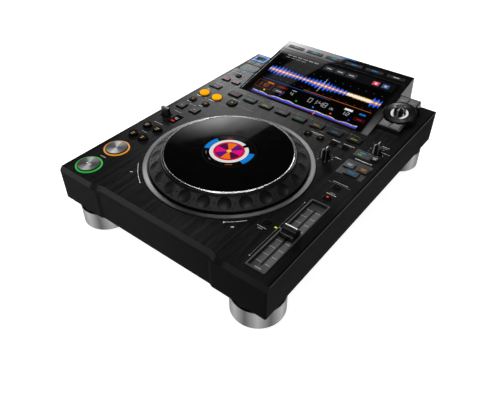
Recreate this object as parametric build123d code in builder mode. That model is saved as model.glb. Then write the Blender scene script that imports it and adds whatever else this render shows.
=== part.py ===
"""Tabletop DJ media player with a tilted touch screen, a jog wheel and a tempo fader.

The frame is X to the right, +Y to the rear and +Z up, in millimetres. The origin is on the
table, under the middle of the player's outer box.
"""
from build123d import *
import os
from math import cos, radians, sin, tan

os.makedirs("parts", exist_ok=True)

# Case: its width and the jog ring's margins give the ring, the housing and the depth
WIDTH = 329.0
COLUMN_W = 52.9
JOG_FRONT_MARGIN = 32.2
JOG_REAR_MARGIN = 51.7
CASE_BOTTOM = 38.8
PANEL_TOP = 86.8
PANEL_T = 2.0
WALL = 3.0
FRONT_WALL = 5.5
PANEL_LEDGE = 1.8
CORNER_R = 2.0
BAND_H = 5.3
BAND_D = 4.9
FIXED_GAP = 0.1
CUT_PAST = 1.0

# Scoop in the middle of the front band
SCOOP_LEFT_INSET = 74.5
SCOOP_RIGHT_INSET = 78.5
SCOOP_SET_BACK = 2.0
SCOOP_H = 8.0
SCOOP_D = 9.0
SCOOP_FLARE = 2.44

# Base and rear
PAN_T = 1.2
REAR_T = 1.5
POST_R = 4.5
POST_H = 16.0
POST_INSET = 9.0
POST_FOOT_GAP = 4.0
SCREW_R = 1.5
SCREW_HEAD_R = 2.9
SCREW_HEAD_H = 1.8
SCREW_L = 9.0
VENT_L = 34.0
VENT_W = 2.4
VENT_PITCH = 6.0
VENT_COUNT = 9

# Feet
FOOT_SIDE_INSET = 35.0
FOOT_FRONT_INSET = 34.8
FOOT_REAR_INSET = 29.0
FOOT_R = 33.4
FOOT_SLEEVE_T = 1.6
FOOT_SLEEVE_TOP = 29.5
FOOT_SLEEVE_BOTTOM = 2.5
FOOT_NECK_R = 30.5
FOOT_PAD_R = 29.0
FOOT_PAD_T = 2.0

# Tilted screen housing: its slope is the glass, its rim and the menu strip
TILT = 12.37
GLASS_RIM = 1.5
GLASS_LENGTH = 119.5
MENU_STRIP = 23.7
HOUSING_SIDE_STEP = 2.5
HOUSING_FRONT_STEP = 0.2
HOUSING_WALL = 3.0
HOUSING_BACK_RUN = 4.56
HOUSING_OVERHANG = 25.1
HOUSING_BACK_DROP = 6.8
HOUSING_UNDER_DROP = 11.8
HOUSING_LIP = 10.0
HOUSING_SKIRT = 4.0
HOUSING_FLANGE = 4.0
HOUSING_EDGE = 0.7
GLASS_SIDE = 8.5
GLASS_T = 1.6
GLASS_RECESS = 0.2
LCD_MARGIN = 1.6
LCD_END_MARGIN = 3.0
LCD_FAR_MARGIN = 4.0
LCD_T = 5.0
LCD_GAP = 0.3

# Selector island on the right of the screen, along the slope from the housing's front edge
ISLAND_DROP = 1.0
ISLAND_W = 33.9
ISLAND_DRAFT = 6.7
ISLAND_BASE_FRONT = 25.4
ISLAND_TOP_FRONT = 28.4
ISLAND_TOP_REAR = 98.4
ISLAND_BASE_REAR = 99.9
SELECTOR_SIDE = 16.1
SELECTOR_S = 63.5
SELECTOR_R = 23.2
SELECTOR_SEAT = 1.5
SELECTOR_RISE = 0.5
SELECTOR_DISH = 0.7
SELECTOR_LIGHT_R = 12.3
SELECTOR_LIGHT_W = 3.0
SELECTOR_KNOB_R = 8.9
SELECTOR_KNOB_TOP_R = 7.6
SELECTOR_KNOB_H = 10.8
SELECTOR_FLUTES = 24
SELECTOR_FLUTE_W = 1.1
SELECTOR_FLUTE_L = 8.4
SELECTOR_SHAFT_R = 3.0
SELECTOR_SHAFT_L = 9.0
SELECTOR_FLOAT = 0.3
PAD_SIDE_GAP = 1.6
PAD_W = 28.5
PAD_FRONT_S = 30.6
PAD_REAR_S = 99.0
PAD_RING_GAP = 1.0
PAD_SPLIT = 1.2
PAD_T = 2.0
PAD_RISE = 0.6
PAD_POCKET = 3.0

# Jog wheel, radii from the trim ring inwards and heights above the top panel
RING_W = 7.7
RING_RISE = 1.35
RING_SPIGOT_T = 2.4
WHEEL_GAP = 0.9
WHEEL_LIP_TOP = 3.5
WHEEL_LIP_BOTTOM = -1.0
SKIRT_W = 16.6
WHEEL_TOP = 15.0
WHEEL_WALL = 2.8
RIM_W = 3.3
RIM_RISE = 2.05
RIM_CROWN = 1.1
RIM_INNER_DROP = 0.3
PLATE_T = 1.6
DIMPLE_COUNT = 24
DIMPLE_PHASE = 6.0
DIMPLE_R = 8.2
DIMPLE_DEPTH = 1.7
BEARING_BORE_R = 31.3
BEARING_WALL = 2.5
BEARING_FIT = 0.08
HUB_WALL = 3.7
HUB_BOTTOM = -8.0
THRUST_GAP = 0.3
DISH_FLOOR_T = 2.5
DISH_WALL = 2.5
DISH_SIDE_GAP = 0.2
DISPLAY_BOTTOM = 12.5
DISPLAY_TOP = 16.2
DISPLAY_LEDGE = 2.0
DISPLAY_PLUG_L = 7.0
DISPLAY_GAP = 0.4

# Rows of keys, forward of the housing and along its left side
CUE_ROW_GAP = 20.6
LOOP_ROW_GAP = 24.8
WEIGHT_ROW_GAP = 7.0
SLIP_ROW_GAP = 2.3
TIME_ROW_GAP = 10.2
STOP_ROW_GAP = 31.5

# Keys in the top panel: every key has a retaining flange under the panel
KEY_GAP = 0.3
FLANGE_LIP = 1.0
FLANGE_T = 1.2
KEY_EDGE = 0.4
KEY_CORNER_R = 1.2
KEY_BOARD_DROP = 6.2
BOARD_T = 1.6
TRANSPORT_R = 15.2
TRANSPORT_RISE = 2.2
TRANSPORT_RING_R = 17.4
TRANSPORT_RING_IN = 15.7
TRANSPORT_RING_RISE = 0.9
CUE_KEY_INSET = 6.6
CUE_KEY_COUNT = 8
CUE_KEY_GAP = 10.0

# Menu keys above the screen
MENU_GAP = 6.8
MENU_COUNT = 6
MENU_D = 7.0
MENU_RISE = 0.8
MENU_FROM_GLASS = 10.5

# Direction lever
LEVER_W = 13.6
LEVER_D = 6.0
LEVER_TIP_D = 4.6
LEVER_RISE = 12.5
LEVER_AXIS_DROP = 3.3
LEVER_FOOT_R = 2.4
LEVER_SLOT_D = 10.5
LEVER_SIDE_GAP = 0.5
LEVER_PIN_R = 1.0
LEVER_PIN_L = 3.0

# Small knobs
KNOB_TIP_SHARE = 0.88
KNOB_SHAFT_R = 3.0
KNOB_SHAFT_L = 5.5
KNOB_FIT = 0.05
KNOB_FLOAT = 0.3
KNOB_LINE_W = 1.0
KNOB_LINE_D = 0.4
SPEED_KNOB_R = 6.5
WEIGHT_KNOB_R = 7.0
KNOB_H = 13.2

# Tempo fader
FADER_OPEN_W = 21.4
FADER_OPEN_SHARE = 0.4834
FADER_DEPTH = 4.0
FADER_FRAME_W = 2.0
FADER_FRAME_RISE = 0.8
FADER_TRAY_T = 1.2
FADER_SLOT_W = 2.4
FADER_SLOT_MARGIN = 10.25
FADER_UNIT_W = 12.0
FADER_UNIT_H = 9.0
FADER_UNIT_REACH = 2.75
CAP_W = 17.0
CAP_L = 16.0
CAP_BOTTOM = -3.0
CAP_END_RISE = 3.4
CAP_RIDGE_RISE = 10.2
CAP_RIDGE_L = 4.0
CAP_SAG_SHARE = 0.25
CAP_STEM_W = 1.6
CAP_STEM_L = 5.0
CAP_STEM_DEPTH = 4.5

# SD card bay
SD_WALL_GAP = 1.8
SD_ROW_GAP = 67.4
SD_DOOR_W = 31.0
SD_DOOR_D = 21.0
SD_DOOR_T = 1.8
SD_FRAME_T = 1.4
SD_FLOOR_DROP = 4.0
SD_BAY_DEPTH = 15.0
SD_CARD_W = 24.6
SD_CARD_T = 2.8
SD_CARD_DEPTH = 9.0
SD_PIN_R = 0.6
SD_PIN_L = 0.8
SD_DOOR_PROUD = 0.3

# USB bay
USB_REAR_INSET = 15.9
USB_FRAME_W = 22.8
USB_FRAME_D = 21.0
USB_FRAME_RISE = 0.8
USB_WELL_W = 18.4
USB_WELL_D = 13.0
USB_WELL_DEPTH = 4.8
USB_SLOT_W = 13.2
USB_SLOT_D = 5.7
USB_SLOT_DEPTH = 8.0
USB_BODY_DEPTH = 15.0

# Rear sockets, insets from the near side of the case
SOCKET_RISE = 18.2
RCA_INSETS = (70.5, 52.5, 98.5)
RCA_R = 4.15
RCA_BASE_R = 6.5
RCA_L = 8.0
RCA_COLLAR_R = 5.6
RCA_COLLAR_T = 0.8
RCA_BORE_R = 1.7
LAN_X = -20.0
LAN_W = 16.0
LAN_H = 13.6
LAN_IN_W = 11.8
LAN_IN_H = 8.2
USBB_X = 10.0
USBB_W = 12.4
USBB_H = 11.4
USBB_IN_W = 8.6
USBB_IN_H = 7.8
SOCKET_DEPTH = 15.0
SOCKET_IN_DEPTH = 10.0
SOCKET_PROUD = 0.6
CONTROL_X = 38.0
CONTROL_R = 3.4
CONTROL_BORE_R = 1.8
INLET_INSET = 32.5
INLET_W = 27.0
INLET_H = 19.6
INLET_IN_W = 23.6
INLET_IN_H = 15.8
INLET_DEPTH = 22.0
INLET_IN_DEPTH = 15.5
INLET_PIN_W = 2.0
INLET_PIN_H = 4.0
INLET_PIN_L = 10.8
INLET_PIN_PITCH = 7.0
SWITCH_W = 13.0
SWITCH_H = 19.0
SWITCH_FRAME_T = 1.6
SWITCH_DEPTH = 14.0
SWITCH_PIVOT_DEPTH = 4.0
SWITCH_PIN_R = 0.9
SWITCH_PIN_L = 0.8
SWITCH_PROUD = 3.2
SWITCH_DIP = 1.6
SWITCH_RIM = 4.0
SWITCH_GAP = 0.3
SWITCH_END_GAP = 1.2

# Inside: main board on the right, power supply on the left beside the inlet
STANDOFF_R = 3.0
STANDOFF_H = 6.0
STANDOFF_INSET = 6.0
BOARD_SIDE_INSET = 17.5
BOARD_SPLIT = 22.0
MAIN_FRONT_INSET = 56.5
MAIN_REAR_INSET = 71.4
POWER_W = 70.0
POWER_L = 130.0
POWER_REAR_INSET = 76.4
TRANSFORMER_W = 35.0
TRANSFORMER_L = 32.0
TRANSFORMER_Y = 22.0
CAPACITOR_R = 10.0
HEAT_SINK_T = 6.0
HEAT_SINK_L = 43.0
POWER_PARTS_H = 23.0
POWER_PARTS_X = 17.5
POWER_PARTS_Y = -26.0
SIDE_BOARD_GAP = 2.9
SIDE_BOARD_FRONT_INSET = 12.5
SIDE_BOARD_SD_GAP = 20.0
SIDE_BOARD_FADER_GAP = 1.75
SIDE_BOARD_HOUSING_GAP = 14.6
CUE_BOARD_ROW_GAP = 4.2
CUE_BOARD_HOUSING_GAP = 5.6

# Worked out: the case, the ring and the housing
HALF = WIDTH / 2
RING_OUTER_R = HALF - COLUMN_W
HOUSING_HALF = RING_OUTER_R + HOUSING_SIDE_STEP
HOUSING_SLOPE = GLASS_RIM + GLASS_LENGTH + MENU_STRIP
HOUSING_RUN = HOUSING_SLOPE * cos(radians(TILT))
SLOPE = tan(radians(TILT))
DEPTH = JOG_FRONT_MARGIN + 2 * RING_OUTER_R + JOG_REAR_MARGIN + HOUSING_RUN + HOUSING_BACK_RUN
FRONT_Y = -DEPTH / 2
JOG_Y = FRONT_Y + JOG_FRONT_MARGIN + RING_OUTER_R
HOUSING_FRONT_Y = JOG_Y + RING_OUTER_R + JOG_REAR_MARGIN
HOUSING_TOP_Y = HOUSING_FRONT_Y + HOUSING_RUN
HOUSING_BACK_Y = HOUSING_TOP_Y + HOUSING_BACK_RUN
REAR_Y = HOUSING_BACK_Y - HOUSING_OVERHANG
PANEL_UNDER = PANEL_TOP - PANEL_T
PANEL_FRONT_Y = FRONT_Y + BAND_D
PAN_TOP = CASE_BOTTOM + PAN_T
SCOOP_LEFT = -HALF + SCOOP_LEFT_INSET
SCOOP_RIGHT = HALF - SCOOP_RIGHT_INSET
FLANGE_BOTTOM = PANEL_UNDER - KEY_GAP - FLANGE_T
HOUSING_FRONT_Z = PANEL_TOP + HOUSING_FRONT_STEP
HOUSING_TOP_Z = HOUSING_FRONT_Z + HOUSING_SLOPE * sin(radians(TILT))
HOUSING_BACK_Z = PANEL_TOP - HOUSING_BACK_DROP
HOUSING_UNDER = PANEL_TOP - HOUSING_UNDER_DROP
HOUSING_BOTTOM = PANEL_TOP - HOUSING_SKIRT
GLASS_HALF = HOUSING_HALF - GLASS_SIDE
LCD_HALF = GLASS_HALF - LCD_MARGIN
LCD_START = GLASS_RIM + LCD_END_MARGIN
LCD_LENGTH = GLASS_LENGTH - LCD_END_MARGIN - LCD_FAR_MARGIN
MENU_S = GLASS_RIM + GLASS_LENGTH + MENU_FROM_GLASS
MENU_PITCH = (2 * GLASS_HALF + MENU_GAP) / MENU_COUNT
MENU_W = MENU_PITCH - MENU_GAP
SELECTOR_X = HOUSING_HALF + SELECTOR_SIDE
ISLAND_RIGHT = HOUSING_HALF + ISLAND_W
PAD_LEFT = HOUSING_HALF + PAD_SIDE_GAP
PAD_RIGHT = PAD_LEFT + PAD_W

# Worked out: the jog wheel
RING_INNER_R = RING_OUTER_R - RING_W
WHEEL_R = RING_INNER_R - WHEEL_GAP
WHEEL_TOP_R = WHEEL_R - SKIRT_W
RIM_INNER_R = WHEEL_TOP_R - RIM_W
PLATE_R = RIM_INNER_R - FIXED_GAP
BEARING_R = BEARING_BORE_R + BEARING_WALL
HUB_R = BEARING_R + HUB_WALL
DISPLAY_R = BEARING_R + DISPLAY_LEDGE
DISH_OUTER_R = RING_INNER_R + DISH_WALL + DISH_SIDE_GAP

# Worked out: the rows and columns of keys
CUE_ROW_Y = HOUSING_FRONT_Y - CUE_ROW_GAP
LOOP_ROW_Y = CUE_ROW_Y - LOOP_ROW_GAP
SIDE_ROWS_L = LOOP_ROW_Y - FRONT_Y
CUE_KEY_HALF = RING_OUTER_R - CUE_KEY_INSET
CUE_KEY_PITCH = 2 * CUE_KEY_HALF / (CUE_KEY_COUNT - 1)


def left(share):
    """X in the left key column, as a share of its width from the case's left side."""
    return -HALF + share * COLUMN_W


def right(share):
    """X in the right key column, as a share of its width from the case's right side."""
    return HALF - share * COLUMN_W


def row(share):
    """Y of a key row, as a share of the way from the front edge to the loop keys."""
    return FRONT_Y + share * SIDE_ROWS_L


SLIP_Y = CUE_ROW_Y + SLIP_ROW_GAP
TIME_Y = HOUSING_FRONT_Y + TIME_ROW_GAP
STOP_Y = HOUSING_FRONT_Y + STOP_ROW_GAP
TRANSPORT_X = left(0.499)
PLAY_Y = row(0.1043)
CUE_Y = row(0.2828)
LEVER_X = left(0.3251)
LEVER_Y = row(0.6767)
SPEED_KNOB = (right(1.3516), row(0.8731))
WEIGHT_KNOB = (right(0.4253), CUE_ROW_Y - WEIGHT_ROW_GAP)
FADER_X = right(0.499)
FADER_Y = row(0.3066)
FADER_OPEN_L = FADER_OPEN_SHARE * SIDE_ROWS_L
FADER_SLOT_L = FADER_OPEN_L - 2 * FADER_SLOT_MARGIN
FADER_UNIT_L = FADER_OPEN_L + 2 * FADER_UNIT_REACH
ROUND_KEYS = {
    # name: ((x, y) of each cap, radius, rise above the panel)
    "search_back": ([(left(0.3535), row(0.4272))], 7.0, 3.6),
    "search_forward": ([(left(0.7051), row(0.4272))], 7.0, 3.6),
    "track_back": ([(left(0.3459), row(0.5308))], 6.5, 3.6),
    "track_forward": ([(left(0.7164), row(0.5308))], 6.5, 3.6),
    "loop_size_keys": ([(left(0.3308), row(0.898)), (left(0.8129), row(0.898))], 5.2, 2.2),
    "loop_in": ([(left(0.3554), row(0.9962))], 7.6, 2.8),
    "loop_out": ([(left(0.8299), row(0.9962))], 7.6, 2.8),
    "loop_exit": ([(left(1.3856), LOOP_ROW_Y)], 7.6, 2.4),
    "media_stop_button": ([(left(0.4783), STOP_Y)], 4.2, 1.8),
    "memory_keys": ([(right(share), LOOP_ROW_Y) for share in (2.2609, 1.8771, 1.4839, 1.1456)],
                    4.8, 1.8),
    "tempo_range_button": ([(right(0.5047), row(0.6924))], 4.5, 1.8),
    "master_tempo_button": ([(right(0.4839), row(0.5999))], 4.8, 1.8),
    "tempo_reset_button": ([(right(1.0662), row(0.3015))], 4.5, 1.6),
}
SQUARE_KEYS = {
    # name: ((x, y) of each cap, width, depth, rise above the panel)
    "beat_jump_back": ([(left(0.3195), row(0.8063))], 13.5, 13.5, 2.0),
    "beat_jump_forward": ([(left(0.8166), row(0.8063))], 13.5, 13.5, 2.0),
    "slip_button": ([(left(0.3403), SLIP_Y)], 20.0, 11.0, 1.6),
    "time_keys": ([(left(0.3025), TIME_Y), (left(0.6881), TIME_Y)], 13.5, 8.2, 1.8),
    "hot_cue_keys": ([(-CUE_KEY_HALF + CUE_KEY_PITCH * i, CUE_ROW_Y) for i in range(CUE_KEY_COUNT)],
                     CUE_KEY_PITCH - CUE_KEY_GAP, 12.5, 2.0),
    "jog_mode_button": ([(right(0.3157), LOOP_ROW_Y)], 10.0, 9.5, 1.8),
    "master_button": ([(right(0.6824), row(0.8823))], 14.0, 12.0, 1.8),
    "key_sync_button": ([(right(0.3195), row(0.8823))], 14.0, 12.0, 1.8),
    "beat_sync_button": ([(right(0.4953), row(0.828))], 19.5, 11.0, 1.8),
}

# Worked out: the bays, the sockets and the boards
SD_X = -HALF + WALL + SD_WALL_GAP + SD_FRAME_T + KEY_GAP + SD_DOOR_W / 2
SD_Y = HOUSING_FRONT_Y + SD_ROW_GAP
USB_X = left(0.327)
USB_Y = REAR_Y - USB_REAR_INSET
SOCKET_Z = CASE_BOTTOM + SOCKET_RISE
RCA_X = [HALF - inset for inset in RCA_INSETS]
INLET_X = -HALF + INLET_INSET
SWITCH_X = INLET_X + INLET_W / 2 + SWITCH_W / 2 + SWITCH_FRAME_T
SWITCH_PIVOT_Y = REAR_Y - SWITCH_PIVOT_DEPTH
KEY_BOARD_TOP = PANEL_TOP - KEY_BOARD_DROP
POWER_X = -HALF + BOARD_SIDE_INSET + POWER_W / 2
POWER_Y = REAR_Y - POWER_REAR_INSET - POWER_L / 2
POWER_BOARD = (POWER_X, POWER_Y, POWER_W, POWER_L)
MAIN_LEFT = POWER_X + POWER_W / 2 + BOARD_SPLIT
MAIN_RIGHT = HALF - BOARD_SIDE_INSET
MAIN_FRONT = FRONT_Y + MAIN_FRONT_INSET
MAIN_REAR = REAR_Y - MAIN_REAR_INSET
MAIN_BOARD = ((MAIN_LEFT + MAIN_RIGHT) / 2, (MAIN_FRONT + MAIN_REAR) / 2,
              MAIN_RIGHT - MAIN_LEFT, MAIN_REAR - MAIN_FRONT)
SIDE_BOARD_W = COLUMN_W - WALL - SIDE_BOARD_GAP
FOOT_X = HALF - FOOT_SIDE_INSET
FOOT_FRONT_Y = FRONT_Y + FOOT_FRONT_INSET
FOOT_REAR_Y = REAR_Y - FOOT_REAR_INSET
FEET = [(x, y) for x in (-FOOT_X, FOOT_X) for y in (FOOT_FRONT_Y, FOOT_REAR_Y)]
POST_X = HALF - WALL - POST_INSET
POST_REACH = FOOT_R + SCREW_HEAD_R + POST_FOOT_GAP
POSTS = [
    (x, y) for x in (-POST_X, POST_X)
    for y in (FOOT_FRONT_Y + POST_REACH, (FOOT_FRONT_Y + FOOT_REAR_Y) / 2, FOOT_REAR_Y - POST_REACH)
]

# Planes and axes
SCREEN = Plane(
    origin=(0, HOUSING_FRONT_Y, HOUSING_FRONT_Z),
    x_dir=(1, 0, 0),
    z_dir=(0, -sin(radians(TILT)), cos(radians(TILT))),
)
SCREEN_UP = Axis(SCREEN.origin, SCREEN.z_dir)
JOG_SECTION = Plane(origin=(0, JOG_Y, PANEL_TOP), x_dir=(1, 0, 0), z_dir=(0, -1, 0))
JOG_AXIS = Axis((0, JOG_Y, 0), (0, 0, 1))
REAR = Plane(origin=(0, REAR_Y, SOCKET_Z), x_dir=(1, 0, 0), z_dir=(0, -1, 0))


def finish(builder, name):
    """Label a finished piece and write it to its own file."""
    builder.part.label = name
    export_step(builder.part, f"parts/{name}.step")


def plan_outline():
    """The top panel's outline: a rectangle with a wide shallow notch along its front."""
    inner_y = FRONT_Y + SCOOP_D
    flare = SCOOP_FLARE * (inner_y - PANEL_FRONT_Y)
    return [
        (-HALF, PANEL_FRONT_Y), (SCOOP_LEFT - flare, PANEL_FRONT_Y), (SCOOP_LEFT, inner_y),
        (SCOOP_RIGHT, inner_y), (SCOOP_RIGHT + flare, PANEL_FRONT_Y), (HALF, PANEL_FRONT_Y),
        (HALF, REAR_Y), (-HALF, REAR_Y),
    ]


def scoop_outline(back_y):
    """One level of the scoop: a trapezium whose ends flare towards the front."""
    front_y = FRONT_Y - CUT_PAST
    flare = SCOOP_FLARE * (back_y - front_y)
    return [
        (SCOOP_LEFT - flare, front_y), (SCOOP_RIGHT + flare, front_y),
        (SCOOP_RIGHT, back_y), (SCOOP_LEFT, back_y),
    ]


def revolved(points, axis=JOG_AXIS, section=JOG_SECTION):
    """A turned piece from its half section of (radius, height) points."""
    with BuildPart() as turned:
        with BuildSketch(section):
            with BuildLine():
                Polyline(*points, close=True)
            make_face()
        revolve(axis=axis)
    return turned.part


# Case walls: a moulded shell of the front and both sides, open at the top, rear and bottom
SCOOP_BASE_Z = PANEL_TOP - SCOOP_H
SCOOP_RUN = (SCOOP_D - SCOOP_SET_BACK) / SCOOP_H
with BuildPart() as case_walls:
    with BuildSketch(Plane.XY.offset(CASE_BOTTOM)):
        with Locations((0, (FRONT_Y + REAR_Y) / 2)):
            Rectangle(WIDTH, REAR_Y - FRONT_Y)
    extrude(amount=PANEL_TOP - CASE_BOTTOM)
    front_corners = case_walls.edges().filter_by(Axis.Z).sort_by(Axis.Y)[:2]
    fillet(front_corners, CORNER_R)
    with BuildSketch(Plane.YZ.offset(-HALF - CUT_PAST)):
        with BuildLine():
            Polyline((FRONT_Y, PANEL_TOP - BAND_H), (PANEL_FRONT_Y, PANEL_TOP),
                     (FRONT_Y, PANEL_TOP), close=True)
        make_face()
    extrude(amount=WIDTH + 2 * CUT_PAST, mode=Mode.SUBTRACT)
    with BuildSketch(Plane.XY.offset(CASE_BOTTOM)):
        with BuildLine():
            Polyline(*scoop_outline(FRONT_Y + SCOOP_SET_BACK), close=True)
        make_face()
    extrude(amount=SCOOP_BASE_Z - CASE_BOTTOM, mode=Mode.SUBTRACT)
    with BuildSketch(Plane.XY.offset(SCOOP_BASE_Z)):
        with BuildLine():
            Polyline(*scoop_outline(FRONT_Y + SCOOP_SET_BACK), close=True)
        make_face()
    with BuildSketch(Plane.XY.offset(PANEL_TOP)):
        with BuildLine():
            Polyline(*scoop_outline(FRONT_Y + SCOOP_D), close=True)
        make_face()
    loft(ruled=True, mode=Mode.SUBTRACT)
    inner_front = FRONT_Y + FRONT_WALL
    with BuildSketch(Plane.YZ.offset(-HALF + WALL)):
        with BuildLine():
            Polyline(
                (inner_front, CASE_BOTTOM), (inner_front, SCOOP_BASE_Z - WALL),
                (inner_front + SCOOP_D - SCOOP_SET_BACK, PANEL_UNDER - WALL),
                (inner_front + SCOOP_D - SCOOP_SET_BACK, PANEL_TOP), (REAR_Y, PANEL_TOP),
                (REAR_Y, CASE_BOTTOM), close=True,
            )
        make_face()
    extrude(amount=WIDTH - 2 * WALL, mode=Mode.SUBTRACT)
    with BuildSketch(Plane.XY.offset(SCOOP_BASE_Z - WALL)):
        flare = SCOOP_FLARE * SCOOP_D + WALL
        for near, far in ((-HALF + WALL, SCOOP_LEFT - flare), (SCOOP_RIGHT + flare, HALF - WALL)):
            with Locations(((near + far) / 2, FRONT_Y + FRONT_WALL + PANEL_LEDGE + SCOOP_D / 2)):
                Rectangle(far - near, SCOOP_D)
    extrude(amount=PANEL_TOP - SCOOP_BASE_Z + WALL, mode=Mode.SUBTRACT)
    with BuildSketch(Plane.XY.offset(PANEL_UNDER)):
        with BuildLine():
            Polyline(*plan_outline(), close=True)
        make_face()
    extrude(amount=PANEL_T, mode=Mode.SUBTRACT)
    with BuildSketch(Plane.XY.offset(PAN_TOP)):
        with Locations(*POSTS):
            Circle(POST_R)
        for side in (-1, 1):
            with Locations(*[(side * (HALF - WALL - POST_INSET / 2), y) for _, y in POSTS[:3]]):
                Rectangle(POST_INSET, WALL)
    extrude(amount=POST_H)
    with BuildSketch(Plane.XY.offset(PAN_TOP)):
        with Locations(*POSTS):
            Circle(SCREW_R + FIXED_GAP)
    extrude(amount=SCREW_L, mode=Mode.SUBTRACT)
finish(case_walls, "case_walls")

# Base pan: pressed steel sheet with vent slots and pressed standoffs for the boards
with BuildPart() as base_pan:
    with BuildSketch(Plane.XY.offset(CASE_BOTTOM)):
        with Locations((0, (inner_front + REAR_Y - REAR_T) / 2)):
            Rectangle(WIDTH - 2 * WALL, REAR_Y - REAR_T - inner_front)
        with Locations(*POSTS):
            Circle(SCREW_R + FIXED_GAP, mode=Mode.SUBTRACT)
        with GridLocations(-2 * POWER_X, VENT_PITCH, 2, VENT_COUNT):
            SlotOverall(VENT_L, VENT_W, mode=Mode.SUBTRACT)
    extrude(amount=PAN_T)
    with BuildSketch(Plane.XY.offset(PAN_TOP)):
        for cx, cy, board_w, board_l in (MAIN_BOARD, POWER_BOARD):
            with Locations((cx, cy)):
                with GridLocations(board_w - 2 * STANDOFF_INSET, board_l - 2 * STANDOFF_INSET, 2, 2):
                    Circle(STANDOFF_R)
    extrude(amount=STANDOFF_H)
finish(base_pan, "base_pan")

# Top panel: brushed plate that covers the walls, cut out for the screen housing
with BuildPart() as top_panel:
    with BuildSketch(Plane.XY.offset(PANEL_UNDER)):
        with BuildLine():
            Polyline(*plan_outline(), close=True)
        make_face()
        housing_edge_y = HOUSING_FRONT_Y - FIXED_GAP
        with Locations((0, (housing_edge_y + REAR_Y) / 2)):
            Rectangle(2 * (HOUSING_HALF + FIXED_GAP), REAR_Y - housing_edge_y, mode=Mode.SUBTRACT)
        with Locations((0, JOG_Y)):
            Circle(RING_INNER_R + RING_SPIGOT_T + FIXED_GAP, mode=Mode.SUBTRACT)
        with Locations((TRANSPORT_X, PLAY_Y), (TRANSPORT_X, CUE_Y)):
            Circle(TRANSPORT_RING_R + FIXED_GAP, mode=Mode.SUBTRACT)
        for centres, radius, _ in ROUND_KEYS.values():
            with Locations(*centres):
                Circle(radius + KEY_GAP, mode=Mode.SUBTRACT)
        for centres, key_w, key_d, _ in SQUARE_KEYS.values():
            with Locations(*centres):
                RectangleRounded(key_w + 2 * KEY_GAP, key_d + 2 * KEY_GAP,
                                 KEY_CORNER_R + KEY_GAP, mode=Mode.SUBTRACT)
        with Locations(SPEED_KNOB, WEIGHT_KNOB):
            Circle(KNOB_SHAFT_R + KNOB_FIT, mode=Mode.SUBTRACT)
        with Locations((LEVER_X, LEVER_Y)):
            Rectangle(LEVER_W + 2 * LEVER_SIDE_GAP, LEVER_SLOT_D, mode=Mode.SUBTRACT)
        with Locations((FADER_X, FADER_Y)):
            Rectangle(FADER_OPEN_W + 2 * (FADER_TRAY_T + FIXED_GAP),
                      FADER_OPEN_L + 2 * (FADER_TRAY_T + FIXED_GAP), mode=Mode.SUBTRACT)
        with Locations((SD_X, SD_Y)):
            Rectangle(SD_DOOR_W + 2 * (KEY_GAP + SD_FRAME_T + FIXED_GAP),
                      SD_DOOR_D + 2 * (KEY_GAP + SD_FRAME_T + FIXED_GAP), mode=Mode.SUBTRACT)
        with Locations((USB_X, USB_Y)):
            Rectangle(USB_WELL_W + 2 * (SD_FRAME_T + FIXED_GAP),
                      USB_WELL_D + 2 * (SD_FRAME_T + FIXED_GAP), mode=Mode.SUBTRACT)
    extrude(amount=PANEL_T)
finish(top_panel, "top_panel")

# Rear panel: steel sheet with its socket openings, lower in the middle under the housing
with BuildPart() as rear_panel:
    with BuildSketch(Plane.XZ.offset(-REAR_Y)):
        with Locations((0, (PAN_TOP + PANEL_UNDER) / 2)):
            Rectangle(WIDTH - 2 * WALL, PANEL_UNDER - PAN_TOP)
        with Locations((0, (HOUSING_UNDER + PANEL_UNDER) / 2)):
            Rectangle(2 * (HOUSING_HALF + FIXED_GAP), PANEL_UNDER - HOUSING_UNDER, mode=Mode.SUBTRACT)
        with Locations(*[(x, SOCKET_Z) for x in RCA_X]):
            Circle(RCA_COLLAR_R + FIXED_GAP, mode=Mode.SUBTRACT)
        with Locations((CONTROL_X, SOCKET_Z)):
            Circle(CONTROL_R + FIXED_GAP, mode=Mode.SUBTRACT)
        for x, opening_w, opening_h in (
            (LAN_X, LAN_W, LAN_H), (USBB_X, USBB_W, USBB_H), (INLET_X, INLET_W, INLET_H),
            (SWITCH_X, SWITCH_W + 2 * SWITCH_FRAME_T, SWITCH_H + 2 * SWITCH_FRAME_T),
        ):
            with Locations((x, SOCKET_Z)):
                Rectangle(opening_w + 2 * FIXED_GAP, opening_h + 2 * FIXED_GAP, mode=Mode.SUBTRACT)
    extrude(amount=REAR_T)
finish(rear_panel, "rear_panel")


def plate_under(y):
    """Height of the underside of the housing's tilted top plate."""
    return HOUSING_FRONT_Z + (y - HOUSING_FRONT_Y) * SLOPE - HOUSING_WALL / cos(radians(TILT))


def on_screen(height=0.0):
    """The tilted screen plane, moved along its normal."""
    return SCREEN.offset(height)


def pad_outline(gap):
    """Four browse pads round the selector ring, each grown by a gap."""
    with BuildSketch(Plane.XY, mode=Mode.PRIVATE) as outline:
        middle = (PAD_FRONT_S + PAD_REAR_S) / 2
        with Locations(((PAD_LEFT + PAD_RIGHT) / 2, middle)):
            Rectangle(PAD_RIGHT - PAD_LEFT + 2 * gap, PAD_REAR_S - PAD_FRONT_S + 2 * gap)
        with Locations((SELECTOR_X, SELECTOR_S)):
            Circle(SELECTOR_R + PAD_RING_GAP - gap, mode=Mode.SUBTRACT)
        if PAD_SPLIT > 2 * gap:
            with Locations((SELECTOR_X, middle)):
                Rectangle(PAD_SPLIT - 2 * gap, PAD_REAR_S, mode=Mode.SUBTRACT)
    return outline.sketch


def island_z(run):
    """Height of the island's top at a distance behind the housing's front edge."""
    return HOUSING_FRONT_Z + run * SLOPE - ISLAND_DROP


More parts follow.
